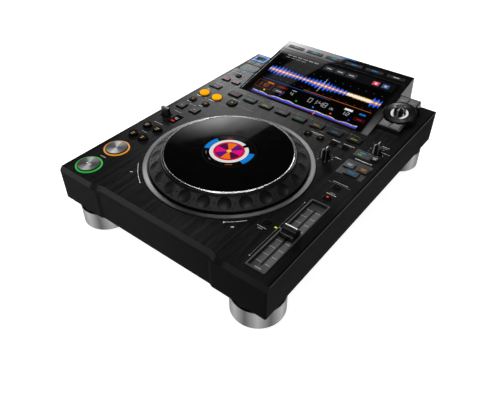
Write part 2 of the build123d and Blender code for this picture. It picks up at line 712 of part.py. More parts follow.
# Round boss that carries the selector ring, cut off at the panel and at the housing's side
with BuildPart() as ring_boss:
    with BuildSketch(on_screen(-SELECTOR_SEAT)):
        with Locations((SELECTOR_X, SELECTOR_S)):
            Circle(SELECTOR_R)
    extrude(amount=-SELECTOR_S * sin(radians(TILT)) - SELECTOR_R)
    split(bisect_by=Plane.XY.offset(PANEL_TOP), keep=Keep.TOP)
    split(bisect_by=Plane.YZ.offset(HOUSING_HALF - HOUSING_WALL), keep=Keep.TOP)

# Screen housing: moulded wedge over the rear of the panel, with the selector's raised island
with BuildPart() as screen_housing:
    rear_run = (HOUSING_BACK_Y - HOUSING_TOP_Y) / (HOUSING_TOP_Z - HOUSING_BACK_Z)
    inner_back = HOUSING_BACK_Y - HOUSING_WALL
    inner_under = HOUSING_UNDER + HOUSING_WALL
    with BuildSketch(Plane.YZ.offset(-HOUSING_HALF)):
        with BuildLine():
            Polyline(
                (HOUSING_FRONT_Y, HOUSING_BOTTOM), (HOUSING_FRONT_Y, HOUSING_FRONT_Z),
                (HOUSING_TOP_Y, HOUSING_TOP_Z), (HOUSING_BACK_Y, HOUSING_BACK_Z),
                (REAR_Y, HOUSING_UNDER), (REAR_Y - HOUSING_LIP, HOUSING_UNDER),
                (REAR_Y - HOUSING_LIP, HOUSING_BOTTOM), close=True,
            )
        make_face()
    extrude(amount=2 * HOUSING_HALF)
    sloped = screen_housing.faces().filter_by(Axis.X).edges().group_by(SortBy.LENGTH)[-1]
    fillet(sloped, HOUSING_EDGE)
    top_inner_y = HOUSING_TOP_Y - HOUSING_WALL
    with BuildSketch(Plane.YZ.offset(-HOUSING_HALF + HOUSING_WALL)):
        with BuildLine():
            Polyline(
                (HOUSING_FRONT_Y + HOUSING_WALL, HOUSING_UNDER),
                (HOUSING_FRONT_Y + HOUSING_WALL, plate_under(HOUSING_FRONT_Y + HOUSING_WALL)),
                (top_inner_y, plate_under(top_inner_y)),
                (inner_back, HOUSING_BACK_Z + HOUSING_WALL),
                (REAR_Y, inner_under), (REAR_Y - HOUSING_LIP + HOUSING_WALL, inner_under),
                (REAR_Y - HOUSING_LIP + HOUSING_WALL, HOUSING_BOTTOM - HOUSING_WALL),
                (REAR_Y - HOUSING_LIP, HOUSING_BOTTOM - HOUSING_WALL),
                (REAR_Y - HOUSING_LIP, HOUSING_UNDER), close=True,
            )
        make_face()
    extrude(amount=2 * (HOUSING_HALF - HOUSING_WALL), mode=Mode.SUBTRACT)
    # Flange under the panel along the front and the left side
    with BuildSketch(Plane.XY.offset(HOUSING_BOTTOM)):
        flange_rear = REAR_Y - HOUSING_LIP
        with Locations((-HOUSING_FLANGE / 2, HOUSING_FRONT_Y - HOUSING_FLANGE / 2)):
            Rectangle(2 * HOUSING_HALF + HOUSING_FLANGE, HOUSING_FLANGE)
        with Locations((-HOUSING_HALF - HOUSING_FLANGE / 2, (HOUSING_FRONT_Y + flange_rear) / 2)):
            Rectangle(HOUSING_FLANGE, flange_rear - HOUSING_FRONT_Y)
    extrude(amount=PANEL_UNDER - HOUSING_BOTTOM)
    # Island: a wedge parallel to the screen, with a drafted right side
    island_left = HOUSING_HALF - HOUSING_WALL
    with BuildSketch(Plane.YZ.offset(island_left)):
        with BuildLine():
            Polyline(
                (HOUSING_FRONT_Y + ISLAND_BASE_FRONT, PANEL_TOP),
                (HOUSING_FRONT_Y + ISLAND_TOP_FRONT, island_z(ISLAND_TOP_FRONT)),
                (HOUSING_FRONT_Y + ISLAND_TOP_REAR, island_z(ISLAND_TOP_REAR)),
                (HOUSING_FRONT_Y + ISLAND_BASE_REAR, PANEL_TOP), close=True,
            )
        make_face()
    extrude(amount=ISLAND_RIGHT - island_left)
    draft_h = HOUSING_TOP_Z - PANEL_TOP
    with BuildSketch(Plane.XZ.offset(-HOUSING_FRONT_Y - ISLAND_BASE_REAR)):
        with BuildLine():
            Polyline((ISLAND_RIGHT, PANEL_TOP), (ISLAND_RIGHT, PANEL_TOP + draft_h),
                     (ISLAND_RIGHT - draft_h * tan(radians(ISLAND_DRAFT)), PANEL_TOP + draft_h),
                     close=True)
        make_face()
    extrude(amount=ISLAND_BASE_REAR - ISLAND_BASE_FRONT, mode=Mode.SUBTRACT)
    add(ring_boss.part)
    with BuildSketch(on_screen(-SELECTOR_SEAT)):
        with Locations((SELECTOR_X, SELECTOR_S)):
            Circle(SELECTOR_R + FIXED_GAP)
    extrude(amount=SELECTOR_SEAT + SELECTOR_RISE, mode=Mode.SUBTRACT)
    with BuildSketch(on_screen(-SELECTOR_SEAT)):
        with Locations((SELECTOR_X, SELECTOR_S)):
            Circle(SELECTOR_SHAFT_R + BEARING_FIT)
    extrude(amount=-SELECTOR_SHAFT_L - SELECTOR_FLOAT, mode=Mode.SUBTRACT)
    with BuildSketch(on_screen()):
        add(pad_outline(KEY_GAP))
    extrude(amount=-ISLAND_DROP - PAD_POCKET, mode=Mode.SUBTRACT)
    # Pocket for the glass, window for the display and slots for the menu keys
    glass_depth = GLASS_T + GLASS_RECESS
    with BuildSketch(on_screen()):
        with Locations((0, GLASS_RIM + GLASS_LENGTH / 2)):
            Rectangle(2 * GLASS_HALF, GLASS_LENGTH)
    extrude(amount=-glass_depth, mode=Mode.SUBTRACT)
    with BuildSketch(on_screen()):
        with Locations((0, LCD_START + LCD_LENGTH / 2)):
            Rectangle(2 * (LCD_HALF + LCD_GAP), LCD_LENGTH + 2 * LCD_GAP)
        with Locations((0, MENU_S)):
            with GridLocations(MENU_PITCH, 1, MENU_COUNT, 1):
                RectangleRounded(MENU_W + 2 * KEY_GAP, MENU_D + 2 * KEY_GAP, KEY_CORNER_R)
    extrude(amount=-HOUSING_WALL - CUT_PAST, mode=Mode.SUBTRACT)
finish(screen_housing, "screen_housing")

# Touch glass in the housing's pocket
with BuildPart() as screen_glass:
    with BuildSketch(on_screen(-glass_depth)):
        with Locations((0, GLASS_RIM + GLASS_LENGTH / 2)):
            Rectangle(2 * (GLASS_HALF - FIXED_GAP), GLASS_LENGTH - 2 * FIXED_GAP)
    extrude(amount=GLASS_T)
finish(screen_glass, "screen_glass")

# Display module, hung in the window under the glass
with BuildPart() as lcd_module:
    with BuildSketch(on_screen(-glass_depth)):
        with Locations((0, LCD_START + LCD_LENGTH / 2)):
            Rectangle(2 * LCD_HALF, LCD_LENGTH)
    extrude(amount=-LCD_T)
finish(lcd_module, "lcd_module")

# Menu keys: six bars that press along the housing's normal
with BuildPart() as menu_keys:
    with BuildSketch(on_screen(-HOUSING_WALL - KEY_GAP - FLANGE_T)):
        with Locations((0, MENU_S)):
            with GridLocations(MENU_PITCH, 1, MENU_COUNT, 1):
                Rectangle(MENU_W + 2 * FLANGE_LIP, MENU_D + 2 * FLANGE_LIP)
    extrude(amount=FLANGE_T)
    with BuildSketch(on_screen(-HOUSING_WALL - KEY_GAP)):
        with Locations((0, MENU_S)):
            with GridLocations(MENU_PITCH, 1, MENU_COUNT, 1):
                RectangleRounded(MENU_W, MENU_D, KEY_CORNER_R)
    extrude(amount=HOUSING_WALL + KEY_GAP + MENU_RISE)
    chamfer(menu_keys.faces().filter_by(SCREEN).group_by(SCREEN_UP)[-1].edges(), KEY_EDGE)
finish(menu_keys, "menu_keys")

# Selector: dished ring, knurled knob and four browse pads
RING_BASE = -SELECTOR_SEAT
SELECTOR_SECTION = Plane(
    origin=SCREEN.from_local_coords((SELECTOR_X, SELECTOR_S, 0)), x_dir=(1, 0, 0),
    z_dir=-SCREEN.y_dir,
)
SELECTOR_AXIS = Axis(SELECTOR_SECTION.origin, SCREEN.z_dir)
with BuildPart() as selector_ring:
    with BuildSketch(SELECTOR_SECTION):
        with BuildLine():
            Polyline(
                (SELECTOR_LIGHT_R + FIXED_GAP, RING_BASE), (SELECTOR_R, RING_BASE),
                (SELECTOR_R, SELECTOR_RISE - KEY_EDGE), (SELECTOR_R - KEY_EDGE, SELECTOR_RISE),
                (SELECTOR_R - 2 * KEY_EDGE, SELECTOR_RISE),
                (SELECTOR_LIGHT_R + FIXED_GAP, -SELECTOR_DISH), close=True,
            )
        make_face()
    revolve(axis=SELECTOR_AXIS)
finish(selector_ring, "selector_ring")

with BuildPart() as selector_knob:
    knob_base = RING_BASE + SELECTOR_FLOAT
    with BuildSketch(SELECTOR_SECTION):
        with BuildLine():
            Polyline(
                (0, RING_BASE - SELECTOR_SHAFT_L), (SELECTOR_SHAFT_R, RING_BASE - SELECTOR_SHAFT_L),
                (SELECTOR_SHAFT_R, knob_base), (SELECTOR_KNOB_R, knob_base),
                (SELECTOR_KNOB_TOP_R, knob_base + SELECTOR_KNOB_H - 2 * KEY_EDGE),
                (SELECTOR_KNOB_TOP_R - 2 * KEY_EDGE, knob_base + SELECTOR_KNOB_H),
                (0, knob_base + SELECTOR_KNOB_H), close=True,
            )
        make_face()
    revolve(axis=SELECTOR_AXIS)
    with BuildSketch(on_screen(knob_base + SELECTOR_KNOB_H)):
        with Locations((SELECTOR_X, SELECTOR_S)):
            with PolarLocations(SELECTOR_KNOB_R, SELECTOR_FLUTES):
                RegularPolygon(SELECTOR_FLUTE_W, 4)
    extrude(amount=-SELECTOR_FLUTE_L, mode=Mode.SUBTRACT)
finish(selector_knob, "selector_knob")

with BuildPart() as browse_keys:
    with BuildSketch(on_screen(-ISLAND_DROP + PAD_RISE - PAD_T)):
        add(pad_outline(0))
    extrude(amount=PAD_T)
    chamfer(browse_keys.faces().filter_by(SCREEN).group_by(SCREEN_UP)[-1].edges(), KEY_EDGE)
finish(browse_keys, "browse_keys")

# Jog trim ring: turned metal ring on the panel, with a spigot through its opening
with BuildPart() as jog_trim_ring:
    spigot_r = RING_INNER_R + RING_SPIGOT_T
    add(revolved([
        (RING_INNER_R, -PANEL_T), (spigot_r, -PANEL_T), (spigot_r, 0),
        (RING_OUTER_R, 0), (RING_OUTER_R, RING_RISE - KEY_EDGE),
        (RING_OUTER_R - KEY_EDGE, RING_RISE), (RING_INNER_R, RING_RISE),
    ]))
finish(jog_trim_ring, "jog_trim_ring")

# Jog bearing: dish bolted under the panel, with the tube that the wheel runs on
dish_floor = HUB_BOTTOM - THRUST_GAP
dish_under = dish_floor - DISH_FLOOR_T
with BuildPart() as jog_bearing:
    add(revolved([
        (BEARING_BORE_R, dish_under), (DISH_OUTER_R, dish_under),
        (DISH_OUTER_R, -PANEL_T - DISH_WALL), (RING_OUTER_R, -PANEL_T - DISH_WALL),
        (RING_OUTER_R, -PANEL_T), (RING_INNER_R, -PANEL_T),
        (DISH_OUTER_R - DISH_WALL, dish_floor), (BEARING_R, dish_floor),
        (BEARING_R, DISPLAY_BOTTOM), (BEARING_BORE_R, DISPLAY_BOTTOM),
    ]))
finish(jog_bearing, "jog_bearing")

# Jog wheel: moulded skirt with finger dimples, on a hub that runs on the bearing tube
slope_r = WHEEL_R - WHEEL_TOP_R
slope_h = WHEEL_TOP - WHEEL_LIP_TOP
slope_l = (slope_r ** 2 + slope_h ** 2) ** 0.5
counterbore_r = DISPLAY_R + DISPLAY_GAP
with BuildPart() as jog_wheel:
    add(revolved([
        (BEARING_R + BEARING_FIT, HUB_BOTTOM), (HUB_R, HUB_BOTTOM),
        (HUB_R, WHEEL_TOP - WHEEL_WALL), (WHEEL_TOP_R - WHEEL_WALL, WHEEL_TOP - WHEEL_WALL),
        (WHEEL_R - WHEEL_WALL, WHEEL_LIP_TOP - WHEEL_WALL / 2),
        (WHEEL_R - WHEEL_WALL, WHEEL_LIP_BOTTOM), (WHEEL_R, WHEEL_LIP_BOTTOM),
        (WHEEL_R, WHEEL_LIP_TOP), (WHEEL_TOP_R, WHEEL_TOP), (counterbore_r, WHEEL_TOP),
        (counterbore_r, DISPLAY_BOTTOM - THRUST_GAP),
        (BEARING_R + BEARING_FIT, DISPLAY_BOTTOM - THRUST_GAP),
    ]))
    ball_r = (DIMPLE_R ** 2 + DIMPLE_DEPTH ** 2) / (2 * DIMPLE_DEPTH)
    lift = (ball_r - DIMPLE_DEPTH) / slope_l
    ball_ring = (WHEEL_R + WHEEL_TOP_R) / 2 + lift * slope_h
    ball_z = PANEL_TOP + (WHEEL_TOP + WHEEL_LIP_TOP) / 2 + lift * slope_r
    with Locations((0, JOG_Y, ball_z)):
        with PolarLocations(ball_ring, DIMPLE_COUNT, start_angle=DIMPLE_PHASE):
            Sphere(ball_r, mode=Mode.SUBTRACT)
finish(jog_wheel, "jog_wheel")

# Jog rim: bright metal ring seated on the wheel's edge
with BuildPart() as jog_rim:
    rim_top = WHEEL_TOP + RIM_RISE
    with BuildSketch(JOG_SECTION):
        with BuildLine():
            Polyline(
                (RIM_INNER_R, rim_top - RIM_INNER_DROP), (RIM_INNER_R, WHEEL_TOP),
                (WHEEL_TOP_R, WHEEL_TOP), (WHEEL_TOP_R, rim_top - RIM_CROWN),
            )
            ThreePointArc(
                (WHEEL_TOP_R, rim_top - RIM_CROWN), (RIM_INNER_R + RIM_W / 3, rim_top),
                (RIM_INNER_R, rim_top - RIM_INNER_DROP),
            )
        make_face()
    revolve(axis=JOG_AXIS)
finish(jog_rim, "jog_rim")

# Jog top plate: gloss ring-shaped plate inside the rim
with BuildPart() as jog_top_plate:
    add(revolved([
        (counterbore_r, WHEEL_TOP), (PLATE_R, WHEEL_TOP), (PLATE_R, WHEEL_TOP + PLATE_T),
        (counterbore_r, WHEEL_TOP + PLATE_T),
    ]))
finish(jog_top_plate, "jog_top_plate")

# Jog display: fixed round display on the bearing tube
plug_r = BEARING_BORE_R - FIXED_GAP
with BuildPart() as jog_display:
    add(revolved([
        (0, DISPLAY_BOTTOM - DISPLAY_PLUG_L), (plug_r, DISPLAY_BOTTOM - DISPLAY_PLUG_L),
        (plug_r, DISPLAY_BOTTOM), (DISPLAY_R, DISPLAY_BOTTOM), (DISPLAY_R, DISPLAY_TOP - KEY_EDGE),
        (DISPLAY_R - KEY_EDGE, DISPLAY_TOP), (0, DISPLAY_TOP),
    ]))
finish(jog_display, "jog_display")

# Play and cue keys: round metal caps inside lit rings
for name, key_y in (("play_button", PLAY_Y), ("cue_button", CUE_Y)):
    with BuildPart() as transport_key:
        with BuildSketch(Plane.XY.offset(FLANGE_BOTTOM)):
            with Locations((TRANSPORT_X, key_y)):
                Circle(TRANSPORT_RING_IN + FLANGE_LIP)
        extrude(amount=FLANGE_T)
        with BuildSketch(Plane.XY.offset(FLANGE_BOTTOM)):
            with Locations((TRANSPORT_X, key_y)):
                Circle(TRANSPORT_R)
        extrude(amount=PANEL_TOP + TRANSPORT_RISE - FLANGE_BOTTOM)
        chamfer(transport_key.faces().sort_by(Axis.Z)[-1].edges(), KEY_EDGE)
    finish(transport_key, name)

# Round keys
for name, (centres, radius, rise) in ROUND_KEYS.items():
    with BuildPart() as round_key:
        with BuildSketch(Plane.XY.offset(FLANGE_BOTTOM)):
            with Locations(*centres):
                Circle(radius + FLANGE_LIP)
        extrude(amount=FLANGE_T)
        with BuildSketch(Plane.XY.offset(FLANGE_BOTTOM)):
            with Locations(*centres):
                Circle(radius)
        extrude(amount=PANEL_TOP + rise - FLANGE_BOTTOM)
        chamfer(round_key.faces().group_by(Axis.Z)[-1].edges(), KEY_EDGE)
    finish(round_key, name)

# Square and oblong keys
for name, (centres, key_w, key_d, rise) in SQUARE_KEYS.items():
    with BuildPart() as square_key:
        with BuildSketch(Plane.XY.offset(FLANGE_BOTTOM)):
            with Locations(*centres):
                Rectangle(key_w + 2 * FLANGE_LIP, key_d + 2 * FLANGE_LIP)
        extrude(amount=FLANGE_T)
        with BuildSketch(Plane.XY.offset(FLANGE_BOTTOM)):
            with Locations(*centres):
                RectangleRounded(key_w, key_d, KEY_CORNER_R)
        extrude(amount=PANEL_TOP + rise - FLANGE_BOTTOM)
        chamfer(square_key.faces().group_by(Axis.Z)[-1].edges(), KEY_EDGE)
    finish(square_key, name)

# Light rings: clear mouldings round the play and cue keys and round the selector knob
with BuildPart() as light_rings:
    with BuildSketch(Plane.XY.offset(PANEL_UNDER)):
        with Locations((TRANSPORT_X, PLAY_Y), (TRANSPORT_X, CUE_Y)):
            Circle(TRANSPORT_RING_R)
            Circle(TRANSPORT_RING_IN, mode=Mode.SUBTRACT)
    extrude(amount=PANEL_T + TRANSPORT_RING_RISE)
    with BuildSketch(on_screen(RING_BASE)):
        with Locations((SELECTOR_X, SELECTOR_S)):
            Circle(SELECTOR_LIGHT_R)
            Circle(SELECTOR_LIGHT_R - SELECTOR_LIGHT_W, mode=Mode.SUBTRACT)
    extrude(amount=SELECTOR_SEAT - SELECTOR_DISH)
finish(light_rings, "light_rings")

# Direction lever: paddle on a cross pin just under the panel
LEVER_AXIS_Z = PANEL_TOP - LEVER_AXIS_DROP
with BuildPart() as direction_lever:
    with BuildSketch(Plane.YZ.offset(LEVER_X - LEVER_W / 2)):
        with BuildLine():
            Polyline(
                (LEVER_Y - LEVER_FOOT_R, LEVER_AXIS_Z), (LEVER_Y - LEVER_D / 2, PANEL_TOP),
                (LEVER_Y - LEVER_TIP_D / 2, PANEL_TOP + LEVER_RISE),
                (LEVER_Y + LEVER_TIP_D / 2, PANEL_TOP + LEVER_RISE),
                (LEVER_Y + LEVER_D / 2, PANEL_TOP), (LEVER_Y + LEVER_FOOT_R, LEVER_AXIS_Z),
                close=True,
            )
        make_face()
        with Locations((LEVER_Y, LEVER_AXIS_Z)):
            Circle(LEVER_FOOT_R)
    extrude(amount=LEVER_W)
    fillet(direction_lever.faces().sort_by(Axis.Z)[-1].edges(), KEY_EDGE)
    with BuildSketch(Plane.YZ.offset(LEVER_X - LEVER_W / 2 - LEVER_PIN_L)):
        with Locations((LEVER_Y, LEVER_AXIS_Z)):
            Circle(LEVER_PIN_R)
    extrude(amount=LEVER_W + 2 * LEVER_PIN_L)
finish(direction_lever, "direction_lever")

# Small knobs with a pointer groove, each on a shaft through the panel
for name, (knob_x, knob_y), radius in (
    ("speed_knob", SPEED_KNOB, SPEED_KNOB_R), ("jog_adjust_knob", WEIGHT_KNOB, WEIGHT_KNOB_R),
):
    knob_bottom = PANEL_TOP + KNOB_FLOAT
    with BuildPart() as knob:
        with BuildSketch(Plane.XY.offset(knob_bottom)):
            with Locations((knob_x, knob_y)):
                Circle(radius)
        with BuildSketch(Plane.XY.offset(knob_bottom + KNOB_H)):
            with Locations((knob_x, knob_y)):
                Circle(radius * KNOB_TIP_SHARE)
        loft(ruled=True)
        chamfer(knob.faces().sort_by(Axis.Z)[-1].edges(), KEY_EDGE)
        with BuildSketch(Plane.XY.offset(knob_bottom + KNOB_H)):
            with Locations((knob_x, knob_y + radius / 2)):
                Rectangle(KNOB_LINE_W, radius)
        extrude(amount=-KNOB_LINE_D, mode=Mode.SUBTRACT)
        with BuildSketch(Plane.XY.offset(knob_bottom)):
            with Locations((knob_x, knob_y)):
                Circle(KNOB_SHAFT_R)
        extrude(amount=-KNOB_SHAFT_L)
    finish(knob, name)

# Fader tray: moulded well with a raised frame, a scale floor and a slot for the cap's stem
with BuildPart() as fader_tray:
    tray_w = FADER_OPEN_W + 2 * FADER_TRAY_T
    tray_l = FADER_OPEN_L + 2 * FADER_TRAY_T
    tray_bottom = PANEL_TOP - FADER_DEPTH - FADER_TRAY_T
    with BuildSketch(Plane.XY.offset(tray_bottom)):
        with Locations((FADER_X, FADER_Y)):
            Rectangle(tray_w, tray_l)
    extrude(amount=PANEL_TOP - tray_bottom)
    with BuildSketch(Plane.XY.offset(PANEL_TOP)):
        with Locations((FADER_X, FADER_Y)):
            RectangleRounded(FADER_OPEN_W + 2 * FADER_FRAME_W, FADER_OPEN_L + 2 * FADER_FRAME_W,
                             KEY_CORNER_R)
    extrude(amount=FADER_FRAME_RISE)
    chamfer(fader_tray.faces().sort_by(Axis.Z)[-1].edges(), KEY_EDGE)
    with BuildSketch(Plane.XY.offset(PANEL_TOP + FADER_FRAME_RISE)):
        with Locations((FADER_X, FADER_Y)):
            Rectangle(FADER_OPEN_W, FADER_OPEN_L)
    extrude(amount=-FADER_FRAME_RISE - FADER_DEPTH, mode=Mode.SUBTRACT)
    with BuildSketch(Plane.XY.offset(tray_bottom)):
        with Locations((FADER_X, FADER_Y)):
            Rectangle(FADER_SLOT_W, FADER_SLOT_L)
    extrude(amount=FADER_TRAY_T, mode=Mode.SUBTRACT)
finish(fader_tray, "fader_tray")

# Fader unit: slide potentiometer under the tray, with a slot for the stem
with BuildPart() as fader_unit:
    with BuildSketch(Plane.XY.offset(tray_bottom)):
        with Locations((FADER_X, FADER_Y)):
            Rectangle(FADER_UNIT_W, FADER_UNIT_L)
    extrude(amount=-FADER_UNIT_H)
    with BuildSketch(Plane.XY.offset(tray_bottom)):
        with Locations((FADER_X, FADER_Y)):
            Rectangle(FADER_SLOT_W, FADER_SLOT_L)
    extrude(amount=-CAP_STEM_DEPTH - FADER_TRAY_T, mode=Mode.SUBTRACT)
finish(fader_unit, "fader_unit")

# Fader cap: saddle-shaped finger grip with a raised centre ridge
with BuildPart() as fader_cap:
    end_front = (FADER_Y - CAP_L / 2, PANEL_TOP + CAP_END_RISE)
    end_rear = (FADER_Y + CAP_L / 2, PANEL_TOP + CAP_END_RISE)
    ridge_front = (FADER_Y - CAP_RIDGE_L / 2, PANEL_TOP + CAP_RIDGE_RISE)
    ridge_rear = (FADER_Y + CAP_RIDGE_L / 2, PANEL_TOP + CAP_RIDGE_RISE)
    reach = (CAP_L - CAP_RIDGE_L) / 4
    sag = CAP_SAG_SHARE * (CAP_RIDGE_RISE - CAP_END_RISE)
    mid_z = PANEL_TOP + (CAP_RIDGE_RISE + CAP_END_RISE) / 2 - sag
    with BuildSketch(Plane.YZ.offset(FADER_X - CAP_W / 2)):
        with BuildLine():
            Line((end_front[0], PANEL_TOP + CAP_BOTTOM), end_front)
            ThreePointArc(end_front, (FADER_Y - CAP_RIDGE_L / 2 - reach, mid_z), ridge_front)
            Line(ridge_front, ridge_rear)
            ThreePointArc(ridge_rear, (FADER_Y + CAP_RIDGE_L / 2 + reach, mid_z), end_rear)
            Line(end_rear, (end_rear[0], PANEL_TOP + CAP_BOTTOM))
            Line((end_rear[0], PANEL_TOP + CAP_BOTTOM), (end_front[0], PANEL_TOP + CAP_BOTTOM))
        make_face()
    extrude(amount=CAP_W)
    with BuildSketch(Plane.XY.offset(PANEL_TOP + CAP_BOTTOM)):
        with Locations((FADER_X, FADER_Y)):
            Rectangle(CAP_STEM_W, CAP_STEM_L)
    extrude(amount=-(FADER_DEPTH + CAP_BOTTOM) - FADER_TRAY_T - CAP_STEM_DEPTH)
finish(fader_cap, "fader_cap")

# SD card bay: moulded well under the door, with the card slot in its floor
DOOR_GAP_W = SD_DOOR_W + 2 * KEY_GAP
DOOR_GAP_D = SD_DOOR_D + 2 * KEY_GAP
DOOR_AXIS_Y = SD_Y + SD_DOOR_D / 2 - SD_DOOR_T / 2
DOOR_AXIS_Z = PANEL_TOP + SD_DOOR_PROUD - SD_DOOR_T / 2
with BuildPart() as sd_reader:
    with BuildSketch(Plane.XY.offset(PANEL_TOP - SD_BAY_DEPTH)):
        with Locations((SD_X, SD_Y)):
            Rectangle(DOOR_GAP_W + 2 * SD_FRAME_T, DOOR_GAP_D + 2 * SD_FRAME_T)
    extrude(amount=SD_BAY_DEPTH)
    with BuildSketch(Plane.XY.offset(PANEL_TOP)):
        with Locations((SD_X, SD_Y)):
            Rectangle(DOOR_GAP_W, DOOR_GAP_D)
    extrude(amount=-SD_FLOOR_DROP, mode=Mode.SUBTRACT)
    with BuildSketch(Plane.XY.offset(PANEL_TOP - SD_FLOOR_DROP)):
        with Locations((SD_X, SD_Y)):
            Rectangle(SD_CARD_W, SD_CARD_T)
    extrude(amount=-SD_CARD_DEPTH, mode=Mode.SUBTRACT)
    with BuildSketch(Plane.YZ.offset(SD_X - DOOR_GAP_W / 2 - SD_PIN_L)):
        with Locations((DOOR_AXIS_Y, DOOR_AXIS_Z)):
            Circle(SD_PIN_R + KNOB_FIT)
    extrude(amount=DOOR_GAP_W + 2 * SD_PIN_L, mode=Mode.SUBTRACT)
finish(sd_reader, "sd_reader")

# SD door: flap with a rounded hinge edge and two stub pins
with BuildPart() as sd_door:
    with BuildSketch(Plane.YZ.offset(SD_X - SD_DOOR_W / 2)):
        with Locations((DOOR_AXIS_Y, DOOR_AXIS_Z)):
            Circle(SD_DOOR_T / 2)
        with Locations((DOOR_AXIS_Y - (SD_DOOR_D - SD_DOOR_T / 2) / 2, DOOR_AXIS_Z)):
            Rectangle(SD_DOOR_D - SD_DOOR_T / 2, SD_DOOR_T)
    extrude(amount=SD_DOOR_W)
    with BuildSketch(Plane.YZ.offset(SD_X - SD_DOOR_W / 2 - SD_PIN_L)):
        with Locations((DOOR_AXIS_Y, DOOR_AXIS_Z)):
            Circle(SD_PIN_R)
    extrude(amount=SD_DOOR_W + 2 * SD_PIN_L)
finish(sd_door, "sd_door")

# USB bay: lit frame round a well with the socket in its floor
with BuildPart() as usb_port:
    with BuildSketch(Plane.XY.offset(PANEL_TOP - USB_BODY_DEPTH)):
        with Locations((USB_X, USB_Y)):
            Rectangle(USB_WELL_W + 2 * SD_FRAME_T, USB_WELL_D + 2 * SD_FRAME_T)
    extrude(amount=USB_BODY_DEPTH)
    with BuildSketch(Plane.XY.offset(PANEL_TOP)):
        with Locations((USB_X, USB_Y)):
            RectangleRounded(USB_FRAME_W, USB_FRAME_D, KEY_CORNER_R)
    extrude(amount=USB_FRAME_RISE)
    with BuildSketch(Plane.XY.offset(PANEL_TOP + USB_FRAME_RISE)):
        with Locations((USB_X, USB_Y)):
            Rectangle(USB_WELL_W, USB_WELL_D)
    extrude(amount=-USB_WELL_DEPTH - USB_FRAME_RISE, mode=Mode.SUBTRACT)
    with BuildSketch(Plane.XY.offset(PANEL_TOP - USB_WELL_DEPTH)):
        with Locations((USB_X, USB_Y)):
            Rectangle(USB_SLOT_W, USB_SLOT_D)
    extrude(amount=-USB_SLOT_DEPTH, mode=Mode.SUBTRACT)
finish(usb_port, "usb_port")


def socket_block(x, outer, inner, depth, inner_depth):
    """A box-shaped socket through the rear panel, open to the rear."""
    with BuildPart() as block:
        with BuildSketch(REAR.offset(-SOCKET_PROUD)):
            with Locations((x, 0)):
                Rectangle(*outer)
        extrude(amount=depth)
        with BuildSketch(REAR.offset(-SOCKET_PROUD)):
            with Locations((x, 0)):
                Rectangle(*inner)
        extrude(amount=inner_depth, mode=Mode.SUBTRACT)
    return block.part


# Rear sockets: phono jacks, control jack, network socket and computer socket
with BuildPart() as rear_sockets:
    with BuildSketch(REAR.offset(REAR_T)):
        with Locations(*[(x, 0) for x in RCA_X]):
            Circle(RCA_BASE_R)
    extrude(amount=SOCKET_DEPTH - REAR_T)
    with BuildSketch(REAR.offset(-RCA_COLLAR_T)):
        with Locations(*[(x, 0) for x in RCA_X]):
            Circle(RCA_COLLAR_R)
    extrude(amount=RCA_COLLAR_T + REAR_T)
    with BuildSketch(REAR.offset(-RCA_COLLAR_T - RCA_L)):
        with Locations(*[(x, 0) for x in RCA_X]):
            Circle(RCA_R)
    extrude(amount=RCA_L)
    with BuildSketch(REAR.offset(-RCA_COLLAR_T - RCA_L)):
        with Locations(*[(x, 0) for x in RCA_X]):
            Circle(RCA_BORE_R)
    extrude(amount=RCA_L, mode=Mode.SUBTRACT)
    with BuildSketch(REAR.offset(-SOCKET_PROUD)):
        with Locations((CONTROL_X, 0)):
            Circle(CONTROL_R)
    extrude(amount=SOCKET_DEPTH)
    with BuildSketch(REAR.offset(-SOCKET_PROUD)):
        with Locations((CONTROL_X, 0)):
            Circle(CONTROL_BORE_R)
    extrude(amount=SOCKET_IN_DEPTH, mode=Mode.SUBTRACT)
    add(socket_block(LAN_X, (LAN_W, LAN_H), (LAN_IN_W, LAN_IN_H), SOCKET_DEPTH, SOCKET_IN_DEPTH))
    add(socket_block(USBB_X, (USBB_W, USBB_H), (USBB_IN_W, USBB_IN_H), SOCKET_DEPTH,
                     SOCKET_IN_DEPTH))
finish(rear_sockets, "rear_sockets")

# Mains inlet with three blades, in one moulding with the power switch's frame
with BuildPart() as ac_inlet:
    add(socket_block(INLET_X, (INLET_W, INLET_H), (INLET_IN_W, INLET_IN_H), INLET_DEPTH,
                     INLET_IN_DEPTH))
    add(socket_block(SWITCH_X, (SWITCH_W + 2 * SWITCH_FRAME_T, SWITCH_H + 2 * SWITCH_FRAME_T),
                     (SWITCH_W, SWITCH_H), SWITCH_DEPTH, SWITCH_DEPTH - SWITCH_FRAME_T))
    with BuildSketch(REAR.offset(INLET_IN_DEPTH - SOCKET_PROUD)):
        with Locations((INLET_X - INLET_PIN_PITCH, -INLET_PIN_H / 2), (INLET_X, INLET_PIN_H / 2),
                       (INLET_X + INLET_PIN_PITCH, -INLET_PIN_H / 2)):
            Rectangle(INLET_PIN_W, INLET_PIN_H)
    extrude(amount=-INLET_PIN_L)
    with BuildSketch(Plane.YZ.offset(SWITCH_X - SWITCH_W / 2 - SWITCH_PIN_L)):
        with Locations((SWITCH_PIVOT_Y, SOCKET_Z)):
            Circle(SWITCH_PIN_R + KNOB_FIT)
    extrude(amount=SWITCH_W + 2 * SWITCH_PIN_L, mode=Mode.SUBTRACT)
finish(ac_inlet, "ac_inlet")

